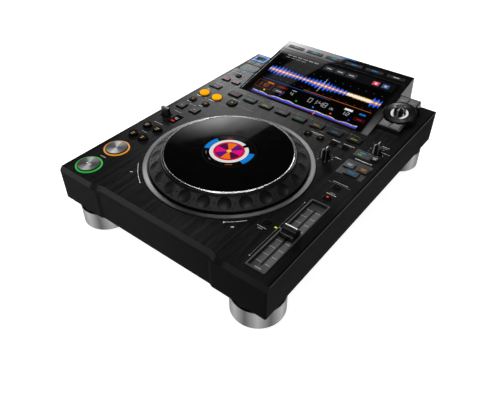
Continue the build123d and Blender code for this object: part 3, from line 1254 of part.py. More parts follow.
# Power switch: rocker with two stub pins in the inlet's moulding
with BuildPart() as power_switch:
    rocker_w = SWITCH_W - 2 * SWITCH_GAP
    rocker_low = SOCKET_Z - SWITCH_H / 2 + SWITCH_END_GAP
    rocker_high = SOCKET_Z + SWITCH_H / 2 - SWITCH_END_GAP
    face_y = REAR_Y + SWITCH_PROUD
    with BuildSketch(Plane.YZ.offset(SWITCH_X - rocker_w / 2)):
        with BuildLine():
            Polyline(
                (SWITCH_PIVOT_Y, SOCKET_Z - SWITCH_DIP), (face_y - SWITCH_RIM, rocker_low),
                (face_y, rocker_low), (face_y - SWITCH_DIP, SOCKET_Z), (face_y, rocker_high),
                (face_y - SWITCH_RIM, rocker_high), (SWITCH_PIVOT_Y, SOCKET_Z + SWITCH_DIP),
                close=True,
            )
        make_face()
    extrude(amount=rocker_w)
    with BuildSketch(Plane.YZ.offset(SWITCH_X - rocker_w / 2 - SWITCH_PIN_L)):
        with Locations((SWITCH_PIVOT_Y, SOCKET_Z)):
            Circle(SWITCH_PIN_R)
    extrude(amount=rocker_w + 2 * SWITCH_PIN_L)
finish(power_switch, "power_switch")

# Feet: metal sleeve round a plastic core, on a rubber pad
with BuildPart() as foot_sleeves:
    with BuildSketch(Plane.XY.offset(FOOT_SLEEVE_BOTTOM)):
        with Locations(*FEET):
            Circle(FOOT_R)
            Circle(FOOT_R - FOOT_SLEEVE_T, mode=Mode.SUBTRACT)
    extrude(amount=FOOT_SLEEVE_TOP - FOOT_SLEEVE_BOTTOM)
    chamfer(foot_sleeves.faces().group_by(Axis.Z)[-1].edges(), KEY_EDGE)
finish(foot_sleeves, "foot_sleeves")

with BuildPart() as foot_cores:
    with BuildSketch(Plane.XY.offset(FOOT_PAD_T)):
        with Locations(*FEET):
            Circle(FOOT_R - FOOT_SLEEVE_T - FIXED_GAP)
    extrude(amount=FOOT_SLEEVE_TOP - 2 * KEY_EDGE - FOOT_PAD_T)
    with BuildSketch(Plane.XY.offset(FOOT_PAD_T)):
        with Locations(*FEET):
            Circle(FOOT_NECK_R)
    extrude(amount=CASE_BOTTOM - FOOT_PAD_T)
finish(foot_cores, "foot_cores")

with BuildPart() as foot_pads:
    with BuildSketch(Plane.XY):
        with Locations(*FEET):
            Circle(FOOT_PAD_R)
    extrude(amount=FOOT_PAD_T)
finish(foot_pads, "foot_pads")

# Case screws through the base pan into the posts
with BuildPart() as case_screws:
    with BuildSketch(Plane.XY.offset(CASE_BOTTOM)):
        with Locations(*POSTS):
            Circle(SCREW_HEAD_R)
    extrude(amount=-SCREW_HEAD_H)
    with BuildSketch(Plane.XY.offset(CASE_BOTTOM)):
        with Locations(*POSTS):
            Circle(SCREW_R)
    extrude(amount=SCREW_L)
finish(case_screws, "case_screws")

# Circuit boards: main board on the pan, key boards under the side and cue keys
with BuildPart() as circuit_boards:
    with BuildSketch(Plane.XY.offset(PAN_TOP + STANDOFF_H)):
        with Locations(MAIN_BOARD[:2]):
            Rectangle(*MAIN_BOARD[2:])
    extrude(amount=BOARD_T)
    side_x = HALF - WALL - SIDE_BOARD_W / 2
    with BuildSketch(Plane.XY.offset(KEY_BOARD_TOP - BOARD_T)):
        for board_x, near_y, far_y, across in (
            (-side_x, FRONT_Y + SIDE_BOARD_FRONT_INSET, SD_Y - SIDE_BOARD_SD_GAP, SIDE_BOARD_W),
            (side_x, FADER_Y + FADER_UNIT_L / 2 + SIDE_BOARD_FADER_GAP,
             HOUSING_FRONT_Y - SIDE_BOARD_HOUSING_GAP, SIDE_BOARD_W),
            (0, LOOP_ROW_Y - CUE_BOARD_ROW_GAP, HOUSING_FRONT_Y - CUE_BOARD_HOUSING_GAP,
             2 * (side_x - SIDE_BOARD_W / 2)),
        ):
            with Locations((board_x, (near_y + far_y) / 2)):
                Rectangle(across, far_y - near_y)
    extrude(amount=BOARD_T)
finish(circuit_boards, "circuit_boards")

# Power supply: board with transformer, heat sink and capacitor
with BuildPart() as power_supply:
    with BuildSketch(Plane.XY.offset(PAN_TOP + STANDOFF_H)):
        with Locations((POWER_X, POWER_Y)):
            Rectangle(POWER_W, POWER_L)
    extrude(amount=BOARD_T)
    with BuildSketch(Plane.XY.offset(PAN_TOP + STANDOFF_H + BOARD_T)):
        with Locations((POWER_X, POWER_Y + TRANSFORMER_Y)):
            Rectangle(TRANSFORMER_W, TRANSFORMER_L)
        with Locations((POWER_X - POWER_PARTS_X, POWER_Y + POWER_PARTS_Y)):
            Circle(CAPACITOR_R)
        with Locations((POWER_X + POWER_PARTS_X, POWER_Y + POWER_PARTS_Y)):
            Rectangle(HEAT_SINK_T, HEAT_SINK_L)
    extrude(amount=POWER_PARTS_H)
finish(power_supply, "power_supply")
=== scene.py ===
"""Looks of a tabletop DJ media player with a jog wheel, a tilted touch screen and a tempo fader.

The frame is X to the right, +Y to the rear and +Z up, in metres, with the origin on the table
under the middle of the player. Sizes in the sections are millimetres and are turned to metres
as each mesh is made.
"""
import bpy
import numpy as np
from mathutils import Euler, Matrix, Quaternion, Vector


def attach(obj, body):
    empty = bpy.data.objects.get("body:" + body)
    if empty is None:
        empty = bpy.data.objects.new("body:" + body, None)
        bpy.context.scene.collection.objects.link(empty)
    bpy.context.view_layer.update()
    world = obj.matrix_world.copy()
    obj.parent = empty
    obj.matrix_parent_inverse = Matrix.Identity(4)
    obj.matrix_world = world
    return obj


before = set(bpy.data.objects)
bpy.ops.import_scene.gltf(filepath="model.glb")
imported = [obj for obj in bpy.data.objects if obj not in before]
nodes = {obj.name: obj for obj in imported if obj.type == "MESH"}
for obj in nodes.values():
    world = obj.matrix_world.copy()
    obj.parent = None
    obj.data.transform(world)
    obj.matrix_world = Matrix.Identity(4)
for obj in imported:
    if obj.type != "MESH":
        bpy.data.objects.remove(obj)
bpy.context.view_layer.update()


# Feet
# Four turned feet: a rubber pad on a black core, with a satin aluminium sleeve pressed round the
# core. The sleeves are turned on a lathe, so their grain runs round them and spreads light upwards.
def linear(red, green, blue):
    """A colour given in steps of 0 to 255 as the linear values that shaders take."""
    tone = np.array([red, green, blue], float) / 255
    return tuple(np.where(tone <= 0.04045, tone / 12.92, ((tone + 0.055) / 1.055) ** 2.4)) + (1.0,)


def grey(level):
    return (level, level, level, 1)


def set_stops(table, stops):
    """Gives a colour ramp these (value, colour) stops."""
    marks = table.elements
    while len(marks) < len(stops):
        marks.new(0.5)
    for mark, (at, colour) in zip(marks, stops):
        mark.position = at
        mark.color = colour


class Finish:
    """A node material that is built up step by step on one Principled surface."""

    def __init__(self, name, roughness, metallic=0.0, specular=0.5, coat=0.0, coat_roughness=0.05):
        self.material = bpy.data.materials.new(name)
        self.material.use_nodes = True
        self.tree = self.material.node_tree
        self.surface = self.tree.nodes["Principled BSDF"]
        self.surface.inputs["Roughness"].default_value = roughness
        self.surface.inputs["Metallic"].default_value = metallic
        self.surface.inputs["Specular IOR Level"].default_value = specular
        self.surface.inputs["Coat Weight"].default_value = coat
        self.surface.inputs["Coat Roughness"].default_value = coat_roughness
        self.place = self.add("ShaderNodeTexCoord").outputs["Object"]

    def add(self, kind, **settings):
        node = self.tree.nodes.new(kind)
        for key, value in settings.items():
            setattr(node, key, value)
        return node

    def join(self, source, target):
        self.tree.links.new(source, target)
        return target

    def noise(self, scale, detail=3.0, vector=None):
        """Noise over the piece, with its own scale along X, Y and Z, in cells per metre."""
        stretch = self.add("ShaderNodeMapping")
        stretch.inputs["Scale"].default_value = scale
        self.join(vector or self.place, stretch.inputs["Vector"])
        cells = self.add("ShaderNodeTexNoise")
        cells.inputs["Scale"].default_value = 1.0
        cells.inputs["Detail"].default_value = detail
        self.join(stretch.outputs["Vector"], cells.inputs["Vector"])
        return cells.outputs["Fac"]

    def ramp(self, source, stops, interpolation="LINEAR"):
        """A colour for each value of source: stops are (value, colour) pairs."""
        table = self.add("ShaderNodeValToRGB")
        table.color_ramp.interpolation = interpolation
        set_stops(table.color_ramp, stops)
        self.join(source, table.inputs["Fac"])
        return table.outputs["Color"]

    def levels(self, source, *steps):
        """A grey for each value of source: steps are (value, level) pairs."""
        return self.ramp(source, [(at, grey(level)) for at, level in steps])

    def mix(self, first, second, share=1.0, blend="MIX"):
        """The second colour over the first by share, or with "MULTIPLY" the two multiplied."""
        node = self.add("ShaderNodeMix", data_type="RGBA", blend_type=blend)
        if isinstance(share, float):
            node.inputs["Factor"].default_value = share
        else:
            self.join(share, node.inputs["Factor"])
        self.join(first, node.inputs["A"])
        self.join(second, node.inputs["B"])
        return node.outputs["Result"]

    def spread(self, source, low, high, at=(0.3, 0.7)):
        """source, from its values `at`, spread over the range from low to high."""
        scaled = self.add("ShaderNodeMapRange")
        scaled.inputs["From Min"].default_value = at[0]
        scaled.inputs["From Max"].default_value = at[1]
        scaled.inputs["To Min"].default_value = low
        scaled.inputs["To Max"].default_value = high
        self.join(source, scaled.inputs["Value"])
        return scaled.outputs["Result"]

    def math(self, operation, first, second=None, third=None):
        node = self.add("ShaderNodeMath", operation=operation)
        for socket, value in zip(node.inputs, (first, second, third)):
            if value is None:
                continue
            if isinstance(value, (int, float)):
                socket.default_value = value
            else:
                self.join(value, socket)
        return node.outputs["Value"]

    def axis(self, name):
        parts = self.add("ShaderNodeSeparateXYZ")
        self.join(self.place, parts.inputs["Vector"])
        return parts.outputs[name]

    def tint(self, source, dark, light, at=(0.3, 0.7)):
        """The base colour, from dark to light over source's range."""
        ramp = self.ramp(source, ((at[0], dark), (at[1], light)))
        self.join(ramp, self.surface.inputs["Base Color"])
        return self

    def rough(self, source, low, high):
        self.join(self.spread(source, low, high), self.surface.inputs["Roughness"])
        return self

    def bump(self, source, height, strength=1.0):
        """Bumps of source, with their height in metres."""
        node = self.add("ShaderNodeBump")
        node.inputs["Strength"].default_value = strength
        node.inputs["Distance"].default_value = height
        self.join(source, node.inputs["Height"])
        self.join(node.outputs["Normal"], self.surface.inputs["Normal"])
        return self

    def shade(self, level):
        """Painted light and shade: the base colour times a level of 0 to 1."""
        colour = self.surface.inputs["Base Color"]
        self.join(self.mix(colour.links[0].from_socket, level, blend="MULTIPLY"), colour)
        return self

    def glow(self, colour, strength):
        if isinstance(colour, tuple):
            self.surface.inputs["Emission Color"].default_value = colour
        else:
            self.join(colour, self.surface.inputs["Emission Color"])
        self.surface.inputs["Emission Strength"].default_value = strength
        return self

    def on(self, *names):
        for name in names:
            piece = nodes[name].data
            piece.materials.clear()
            piece.materials.append(self.material)
        return self


def moulded(name, dark, light, roughness, grain=2600, height=0.00002, specular=0.5):
    """Moulded plastic: a fine spark-eroded grain, and a tone that drifts a little over it."""
    made = Finish(name, roughness, specular=specular)
    made.tint(made.noise((40, 40, 40)), dark, light)
    fine = made.noise((grain,) * 3, detail=2.0)
    made.rough(fine, roughness * 0.8, roughness * 1.2)
    return made.bump(fine, height)


moulded("foot_rubber", linear(20, 20, 20), linear(30, 30, 29), 0.8, grain=1500).on("foot_pads")
moulded("foot_core_plastic", linear(12, 12, 12), linear(20, 20, 20), 0.5).on("foot_cores")
sleeve = Finish("turned_aluminium", 0.34, metallic=1.0)
FOOT_X, FOOT_FRONT, FOOT_REAR = 0.1295, -0.1917, 0.1724
FOOT_MIDDLE, FOOT_REACH = (FOOT_FRONT + FOOT_REAR) / 2, (FOOT_REAR - FOOT_FRONT) / 2
beyond = sleeve.math("SUBTRACT", sleeve.axis("Y"), FOOT_MIDDLE)
to_side = sleeve.math("SIGN", sleeve.axis("X"))
to_rear = sleeve.math("SIGN", beyond)
off_x = sleeve.math("SUBTRACT", sleeve.axis("X"), sleeve.math("MULTIPLY", to_side, FOOT_X))
off_y = sleeve.math("SUBTRACT", beyond, sleeve.math("MULTIPLY", to_rear, FOOT_REACH))
compass = sleeve.math("DIVIDE", sleeve.math("ARCTAN2", off_y, off_x), 2 * np.pi)
started = sleeve.math("MULTIPLY_ADD", to_side, 0.03, sleeve.math("MULTIPLY_ADD", to_rear, 0.028, 0.648))
shifted = sleeve.math("ADD", compass, started)
# painted sheen: seven light bands and seven dark ones at even steps round each sleeve, painted into its base
# colour
BANDS, SHEEN_SHADE, SHEEN_LIGHT = 14, 92, 172
painted_sheen = [(k / BANDS, linear(*(SHEEN_LIGHT if k % 2 else SHEEN_SHADE,) * 3)) for k in range(BANDS + 1)]
sleeve.join(sleeve.ramp(sleeve.math("FRACT", shifted), painted_sheen), sleeve.surface.inputs["Base Color"])
turned = sleeve.noise((60, 60, 9000), detail=1.0)
sleeve.rough(turned, 0.3, 0.4)
sleeve.surface.inputs["Anisotropic"].default_value = 0.8
upright = sleeve.add("ShaderNodeCombineXYZ")
upright.inputs["Z"].default_value = 1.0
sleeve.join(upright.outputs["Vector"], sleeve.surface.inputs["Tangent"])
sleeve.bump(turned, 0.000006).on("foot_sleeves")


# Base pan and its screws
# The bottom is a folded steel pan, powder coated black, and six countersunk steel screws hold it
# to the case.
pan = moulded("powder_coat", linear(22, 22, 22), linear(30, 30, 30), 0.55, grain=900, height=0.00005)
pan.on("base_pan", "rear_panel")
screw = Finish("screw_steel", 0.3, metallic=1.0)
screw.tint(screw.noise((900, 900, 900)), linear(120, 120, 122), linear(170, 170, 172))
screw.rough(screw.noise((3000, 200, 3000)), 0.22, 0.4).on("case_screws")


# Boards, power supply and the fader's slide unit
# Inside the case: two green boards, a boxed power supply on the left and the fader's
# potentiometer, which is a folded steel can.
board = Finish("solder_mask", 0.35)
tracks = board.add("ShaderNodeTexBrick", offset=0.5)
tracks.inputs["Scale"].default_value = 220.0
tracks.inputs["Mortar Size"].default_value = 0.06
tracks.inputs["Color1"].default_value = linear(22, 84, 48)
tracks.inputs["Color2"].default_value = linear(18, 72, 42)
tracks.inputs["Mortar"].default_value = linear(60, 120, 66)
board.join(board.place, tracks.inputs["Vector"])
board.join(tracks.outputs["Color"], board.surface.inputs["Base Color"])
board.on("circuit_boards")
moulded("supply_grey", linear(52, 52, 54), linear(74, 74, 76), 0.5).on("power_supply", "lcd_module")
can = Finish("plated_can", 0.32, metallic=1.0)
can.tint(can.noise((60, 1500, 60)), linear(120, 118, 112), linear(158, 156, 150)).on("fader_unit")


# Case walls
# One moulding makes the front, the sides and the slanted band along the front, in matt black
# with a fine grain. Painted shade darkens its front towards the right and its sides towards the
# rear. The sides are bare.
wall = moulded("case_black", linear(29, 29, 30), linear(33, 33, 34), 0.62, grain=3200,
               height=0.000018, specular=0.01)
along = wall.spread(wall.axis("X"), 0.0, 1.0, at=(-0.16, 0.16))
deep = wall.spread(wall.axis("Y"), 0.0, 1.0, at=(-0.22, 0.22))
# painted shade: the front darker towards the right, the sides darker towards the rear
front_painted_shade = wall.levels(along, (0.0, 1.0), (0.5, 0.94), (0.66, 0.75), (0.81, 0.55), (0.97, 0.4))
side_painted_shade = wall.levels(deep, (0.0, 0.84), (0.23, 0.63), (0.7, 0.49), (0.9, 0.42))
on_side = wall.spread(wall.axis("X"), 0.0, 1.0, at=(0.1642, 0.1644))
wall.shade(wall.mix(front_painted_shade, side_painted_shade, share=on_side)).on("case_walls")

# painted light: the slanted band is lighter, as it catches more light, and painted shade darkens the facets
# at the two ends of its scoop
above_edge = wall.spread(wall.axis("Z"), 0.0, 1.0, at=(0.0812, 0.0816))
behind_face = wall.spread(wall.axis("Y"), 0.0, 1.0, at=(-0.22645, -0.2263))
at_front = wall.spread(wall.axis("Y"), 1.0, 0.0, at=(-0.2005, -0.1995))
painted_band_share = wall.math("MULTIPLY", wall.math("MULTIPLY", behind_face, above_edge),
                       wall.math("MULTIPLY", at_front, wall.math("SUBTRACT", 1.0, on_side)))
BAND_LIT_TONE, LEFT_FACET_SHADE, RIGHT_FACET_SHADE = linear(50, 50, 51), linear(26, 26, 27), linear(20, 20, 20)
band_painted_light = wall.ramp(along, (
    (0.0, BAND_LIT_TONE), (0.165, BAND_LIT_TONE), (0.175, LEFT_FACET_SHADE), (0.197, LEFT_FACET_SHADE), (0.207, BAND_LIT_TONE),
    (0.5, linear(47, 47, 48)), (0.79, linear(38, 38, 39)), (0.8, RIGHT_FACET_SHADE), (0.83, RIGHT_FACET_SHADE),
    (0.84, linear(35, 35, 36)), (1.0, linear(28, 28, 29))))
wall_colour = wall.surface.inputs["Base Color"]
wall.join(wall.mix(wall_colour.links[0].from_socket, band_painted_light, share=painted_band_share), wall_colour)


# Rear sockets, mains inlet and power switch
# Moulded socket bodies stand in the rear panel. Each phono socket has a coloured insulating
# collar, white and red for the outputs and orange for the digital one.
def grid_faces(rows, columns, closed=True):
    """Quads of a grid of rows by columns of points; closed joins the last column to the first."""
    last = columns if closed else columns - 1
    i, j = np.meshgrid(np.arange(rows - 1), np.arange(last), indexing="ij")
    low, high, k = i * columns, (i + 1) * columns, (j + 1) % columns
    return np.stack([low + j, low + k, high + k, high + j], -1).reshape(-1, 4)


def piece(name, points, faces, material, body, slot=None, colours=None, smooth=False):
    """One mesh from points in millimetres and faces, riding on a body.

    colours, one for each face, go into the attribute `ink` for the printed and lit finishes.
    """
    mesh = bpy.data.meshes.new(name)
    mesh.from_pydata((np.asarray(points, float) / 1000).tolist(), [], [tuple(f) for f in faces])
    if colours is not None:
        corners = np.repeat(np.asarray(colours, float), [len(f) for f in faces], axis=0)
        ink = mesh.color_attributes.new("ink", "FLOAT_COLOR", "CORNER")
        ink.data.foreach_set("color", corners.ravel())
    mesh.materials.append(material)
    mesh.polygons.foreach_set("use_smooth", np.full(len(mesh.polygons), smooth))
    mesh.update()
    made = bpy.data.objects.new(name, mesh)
    bpy.context.scene.collection.objects.link(made)
    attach(made, body)
    return made


def turned_ring(centre, outline, steps=48, across="z"):
    """A closed (radius, height) outline turned round an axis through centre.

    The point is centre + radius * (cos a, sin a) across the axis + height along it.
    """
    outline = np.asarray(outline, float)
    a = np.linspace(0, 2 * np.pi, steps, endpoint=False)
    r, h = np.meshgrid(outline[:, 0], a, indexing="ij")[0], np.repeat(outline[:, 1:2], steps, 1)
    flat = np.stack([r * np.cos(a), r * np.sin(a), h], -1)
    if across == "y":
        flat = np.stack([-flat[..., 0], flat[..., 2], flat[..., 1]], -1)
    faces = grid_faces(len(outline), steps)
    last = (len(outline) - 1) * steps
    j = np.arange(steps)
    seam = np.stack([last + j, last + (j + 1) % steps, (j + 1) % steps, j], -1)
    return flat.reshape(-1, 3) + centre, np.vstack([faces, seam])


moulded("socket_plastic", linear(26, 26, 26), linear(36, 36, 36), 0.45).on(
    "rear_sockets", "ac_inlet", "power_switch")
SOCKET_Z, SOCKET_FACE_Y = 57.0, 201.4
COLLAR = [(4.22, 0.4), (4.22, 7.9), (4.6, 7.9), (4.9, 7.6), (4.9, 0.4)]
for name, x, tone in (("left", 94.0, (226, 226, 222)), ("right", 112.0, (190, 26, 26)),
                      ("digital", 66.0, (222, 120, 24))):
    points, faces = turned_ring((x, SOCKET_FACE_Y, SOCKET_Z), COLLAR, across="y")
    insulator = moulded("insulator_" + name, linear(*tone), linear(*[c * 0.9 for c in tone]), 0.4)
    piece("phono_disc_" + name, points, faces, insulator.material, "case", "socket_plastic")


# Top panel
# A 2 mm aluminium plate, anodised black and brushed front to back, so reflections spread across
# the strokes. Painted light makes it paler at the rear left corner, and painted shade darker at
# the right front and along its side edges.
panel = Finish("brushed_black", 0.22, metallic=0.8, specular=0.1)
stroke = panel.noise((2100, 30, 40), detail=3.0)
broad = panel.noise((760, 2.5, 20), detail=1.0)
mixed = panel.math("MULTIPLY_ADD", broad, 0.5, panel.math("MULTIPLY", stroke, 0.5))
panel.tint(mixed, linear(54, 54, 55), linear(88, 88, 89), at=(0.38, 0.62))
# painted shade along the plate's side edges
edge_shade_mask = panel.spread(panel.math("ABSOLUTE", panel.axis("X")), 1.0, 0.0, at=(0.1612, 0.1616))
panel.shade(panel.levels(edge_shade_mask, (0.0, 0.3), (1.0, 1.0)))
# painted light: the rear left corner is paler
corner = panel.math("MULTIPLY", panel.spread(panel.axis("Y"), 0.0, 1.0, at=(0.03, 0.20)),
                    panel.spread(panel.axis("X"), 1.0, 0.0, at=(-0.10, -0.06)))
panel.shade(panel.levels(corner, (0.0, 0.435), (0.18, 0.62), (0.44, 0.88), (0.6, 1.0), (0.95, 1.0)))
# painted shade: the right front is darker
right = panel.math("MULTIPLY", panel.spread(panel.axis("Y"), 1.0, 0.0, at=(-0.03, 0.03)),
                   panel.spread(panel.axis("X"), 0.0, 1.0, at=(0.04, 0.11)))
panel.shade(panel.levels(right, (0.0, 1.0), (1.0, 0.45)))
panel.rough(stroke, 0.19, 0.27)
panel.surface.inputs["Specular Tint"].default_value = grey(0.55)
panel.surface.inputs["Anisotropic"].default_value = 0.45
across_strokes = panel.add("ShaderNodeCombineXYZ")
across_strokes.inputs["X"].default_value = 1.0
panel.join(across_strokes.outputs["Vector"], panel.surface.inputs["Tangent"])
panel.bump(stroke, 0.000004).on("top_panel")


# Printed marks on the panel
# White screen print beside the keys. Short bars hold the place of words; the dial ticks, lines
# and arcs are as on such players. The two key plates are a lighter print on the panel.
PANEL_TOP, JOG_Y = 86.8, -82.7
PRINT_STEP, WORD_RUN = 0.012, 3.1


def bars(centres, sizes, turn=0.0):
    """Rectangles of the given sizes about their centres, all turned by turn degrees.

    A corner is centre + R(turn) * (+-width / 2, +-depth / 2).
    """
    centres = np.atleast_2d(np.asarray(centres, float))
    sizes = np.broadcast_to(np.asarray(sizes, float), centres.shape)
    corner = np.array([(-0.5, -0.5), (0.5, -0.5), (0.5, 0.5), (-0.5, 0.5)])
    c, s = np.cos(np.radians(turn)), np.sin(np.radians(turn))
    local = sizes[:, None, :] * corner @ np.array([(c, s), (-s, c)])
    return (centres[:, None, :] + local).reshape(-1, 2), np.arange(4 * len(centres)).reshape(-1, 4)


def band(centre, inner, outer, start=0.0, end=360.0, steps=48):
    """A flat band about centre between two radii, from start to end in degrees from +X."""
    a = np.radians(np.linspace(start, end, steps + 1))
    around = np.stack([np.cos(a), np.sin(a)], -1)
    points = np.concatenate([inner * around, outer * around]) + centre
    i = np.arange(steps)
    return points, np.stack([i, i + steps + 1, i + steps + 2, i + 1], -1)


def disc(centre, radius, steps=32):
    """A flat disc as one face."""
    a = np.radians(np.linspace(0, 360, steps, endpoint=False))
    return radius * np.stack([np.cos(a), np.sin(a)], -1) + centre, np.arange(steps)[None]


def shape(*corners):
    """One face with these corners."""
    return np.asarray(corners, float), np.arange(len(corners))[None]


def rounded(centre, width, depth, radius, steps=5):
    """A rectangle with round corners, as one face."""
    a = np.radians(np.linspace(0, 90, steps))
    quarter = radius * np.stack([np.cos(a), np.sin(a)], -1)
    turns = [np.array([(c, s), (-s, c)]) for c, s in ((1, 0), (0, 1), (-1, 0), (0, -1))]
    signs = np.array([(1, 1), (-1, 1), (-1, -1), (1, -1)]) * (width / 2 - radius, depth / 2 - radius)
    points = np.concatenate([quarter @ t + sign for t, sign in zip(turns, signs)]) + centre
    return points, np.arange(len(points))[None]


class Print:
    """Flat marks that lie on one surface, each layer a hair above the last."""

    def __init__(self, lift, lie=None):
        self.lift = lift
        self.lie = lie or (lambda x, y, z: np.stack([x, y, z], -1))
        self.points, self.faces, self.colours, self.count = [], [], [], 0

    def add(self, drawn, colour, layer=0):
        """drawn is (points, faces); colour is three steps of 0 to 255, or one row for each face."""
        points, faces = drawn
        z = np.full(len(points), self.lift + PRINT_STEP * layer)
        self.points.append(self.lie(points[:, 0], points[:, 1], z))
        self.faces += [tuple(int(v) + self.count for v in f) for f in faces]
        shades = np.broadcast_to(np.atleast_2d(np.asarray(colour, float)), (len(faces), 3))
        self.colours.append(np.array([linear(*s) for s in shades]))
        self.count += len(points)
        return self

    def make(self, name, material, body, slot=None):
        return piece(name, np.concatenate(self.points), self.faces, material, body, slot,
                     np.concatenate(self.colours))


def inked(name, roughness, lit, body=1.0, specular=0.5):
    """A finish whose colour is the attribute `ink`.

    The surface has the ink's colour times body, and the light behind it the ink's times lit.
    """
    made = Finish(name, roughness, specular=specular)
    ink = made.add("ShaderNodeAttribute", attribute_name="ink").outputs["Color"]
    fine = made.noise((2200, 2200, 2200), detail=2.0)
    for share, socket in ((body, "Base Color"), (lit, "Emission Color")):
        grain = made.levels(fine, (0.2, share * 0.85), (0.6, share))
        made.join(made.mix(ink, grain, blend="MULTIPLY"), made.surface.inputs[socket])
    made.surface.inputs["Emission Strength"].default_value = 1.0 if lit else 0.0
    return made.material


paint = inked("screen_print", 0.5, 0.0, specular=0.1)
lamp = inked("lit_mark", 0.35, 0.85, body=0.2, specular=0.0)


def words(sheet, x, y, length, height, tone, seed, turn=0.0):
    """Short bars in a row, as long as a word or two, with lengths that vary round WORD_RUN."""
    spans = np.random.default_rng(seed).uniform(0.6, 1.3, 24) * WORD_RUN
    ends = np.cumsum(spans + 0.5)
    spans = spans[: max(1, int(np.searchsorted(ends, length)))]
    ends = np.cumsum(spans + 0.5)
    middle = ends - spans / 2 - ends[-1] / 2
    c, s = np.cos(np.radians(turn)), np.sin(np.radians(turn))
    centres = np.stack([x + middle * c, y + middle * s], -1)
    sizes = np.stack([spans, np.full(len(spans), height * 0.55)], -1)
    sheet.add(bars(centres, sizes, turn), (tone,) * 3)


plates = Print(PANEL_TOP + 0.02)
plates.add(rounded((135.7, 37.2), 34.4, 15.7, 1.2), (32, 32, 33))
plates.add(rounded((137.4, 0.5), 36.2, 35.0, 1.2), (25, 25, 26))
plates.make("key_plates", inked("plate_print", 0.38, 0.0), "case", "panel_black")

marks = Print(PANEL_TOP + 0.03)
# the label bars: x, y, length, height, tone and seed of each
for label in (
    (-138.1, -176.0, 13, 1.7, 150, 1), (-139.6, -100.9, 12, 1.5, 150, 2), (-139.9, -72.8, 17, 1.5, 150, 3),
    (-140.1, -32.3, 15, 1.5, 150, 4), (-134.6, 24.0, 5, 2.0, 170, 5), (-147.6, 23.7, 11, 2.2, 205, 6),
    (-122.4, 23.4, 13, 2.2, 205, 7), (-148.4, 1.2, 8, 1.9, 190, 8), (-124.4, 0.8, 8, 1.9, 190, 9),
    (-136.1, -4.4, 14, 1.5, 150, 32), (-151.4, 48.3, 9, 1.7, 170, 33), (-92.4, 46.9, 15, 1.5, 150, 10),
    (-146.3, 71.4, 17, 1.5, 150, 11), (-139.0, 101.2, 20, 1.5, 150, 12), (-146.0, 119.5, 12, 1.5, 150, 13),
    (55.4, 43.6, 22, 1.7, 200, 14), (55.4, 40.6, 13, 1.5, 150, 15), (86.0, 43.8, 15, 1.7, 200, 16),
    (105.4, 43.8, 17, 1.7, 200, 17), (108.0, 9.6, 12, 1.7, 200, 18), (140.5, 70.2, 26, 1.7, 200, 19),
    (140.5, 66.6, 22, 1.5, 150, 20), (153.6, 56.0, 12, 1.5, 150, 21), (138.2, 22.6, 28, 1.8, 200, 22),
    (137.8, -35.6, 22, 1.6, 150, 23), (139.3, -60.6, 15, 1.6, 190, 24), (139.3, -57.6, 10, 1.5, 150, 25),
    (106.2, -156.4, 13, 1.6, 150, 26), (106.2, -159.4, 9, 1.5, 150, 27)):
    words(marks, *label)

# lines that tie groups of keys together
TIES = ((-98.0, 24.0, 28), (-67.0, 35.2, 30), (54.5, 52.0, 16), (55.4, 35.2, 8), (94.9, 35.2, 6))
for x, y, length in TIES:
    marks.add(bars([(x, y)], [(length, 0.3)]), (120, 120, 120))
marks.add(bars([(0, 70.6)], [(218, 0.45)]), (96, 96, 98))
dash = np.linspace(-92, 98, 39)
marks.add(bars(np.stack([dash, np.full(39, 73.6)], -1), (2.6, 0.3)), (92, 92, 92))

# arcs beside the jog wheel, with an arrow head at one end
for start, end, radius, head in ((219.6, 240.0, 117.5, 240.0), (306.3, 319.2, 115.8, 306.3)):
    marks.add(band((0, JOG_Y), radius - 0.3, radius + 0.3, start, end, 24), (200, 200, 200))
    a = np.radians(head)
    tip = np.array([np.cos(a), np.sin(a)]) * radius + (0, JOG_Y)
    marks.add(disc(tip, 0.9, 12), (210, 210, 210))
for x, y, seed in ((-84.0, -176.0, 30), (80.9, -176.9, 31)):
    words(marks, x, y, 6, 2.4, 200, seed, turn=45)

# tick marks round the two dials, and the line beside the fader
SPEED_TICKS = range(-150, 151, 30)
WEIGHT_TICKS = (-150, -110, -70, -30, 0, 30, 70, 110, 150)
for x, y, r, ticks in ((93.0, 2.0, 10.4, SPEED_TICKS), (142.0, 53.0, 11.0, WEIGHT_TICKS)):
    for angle in np.radians(90 - np.array(ticks, float)):
        middle = (x + r * np.cos(angle), y + r * np.sin(angle))
        marks.add(bars([middle], [(1.9, 0.45)], np.degrees(angle)), (190, 190, 190))
marks.add(bars([(122.2, -118.0), (122.2, -173.5)], [(0.4, 51.0), (0.4, 50.0)]), (92, 92, 92))
for x, y in ((122.2, -92.0), (123.3, -145.1), (122.2, -199.0)):
    marks.add(disc((x, y), 0.8, 12), (150, 150, 150))
marks.add(bars([(137.8, -38.6)], [(30.0, 0.3)]), (120, 120, 120))
marks.make("panel_marks", paint, "case", "panel_black")

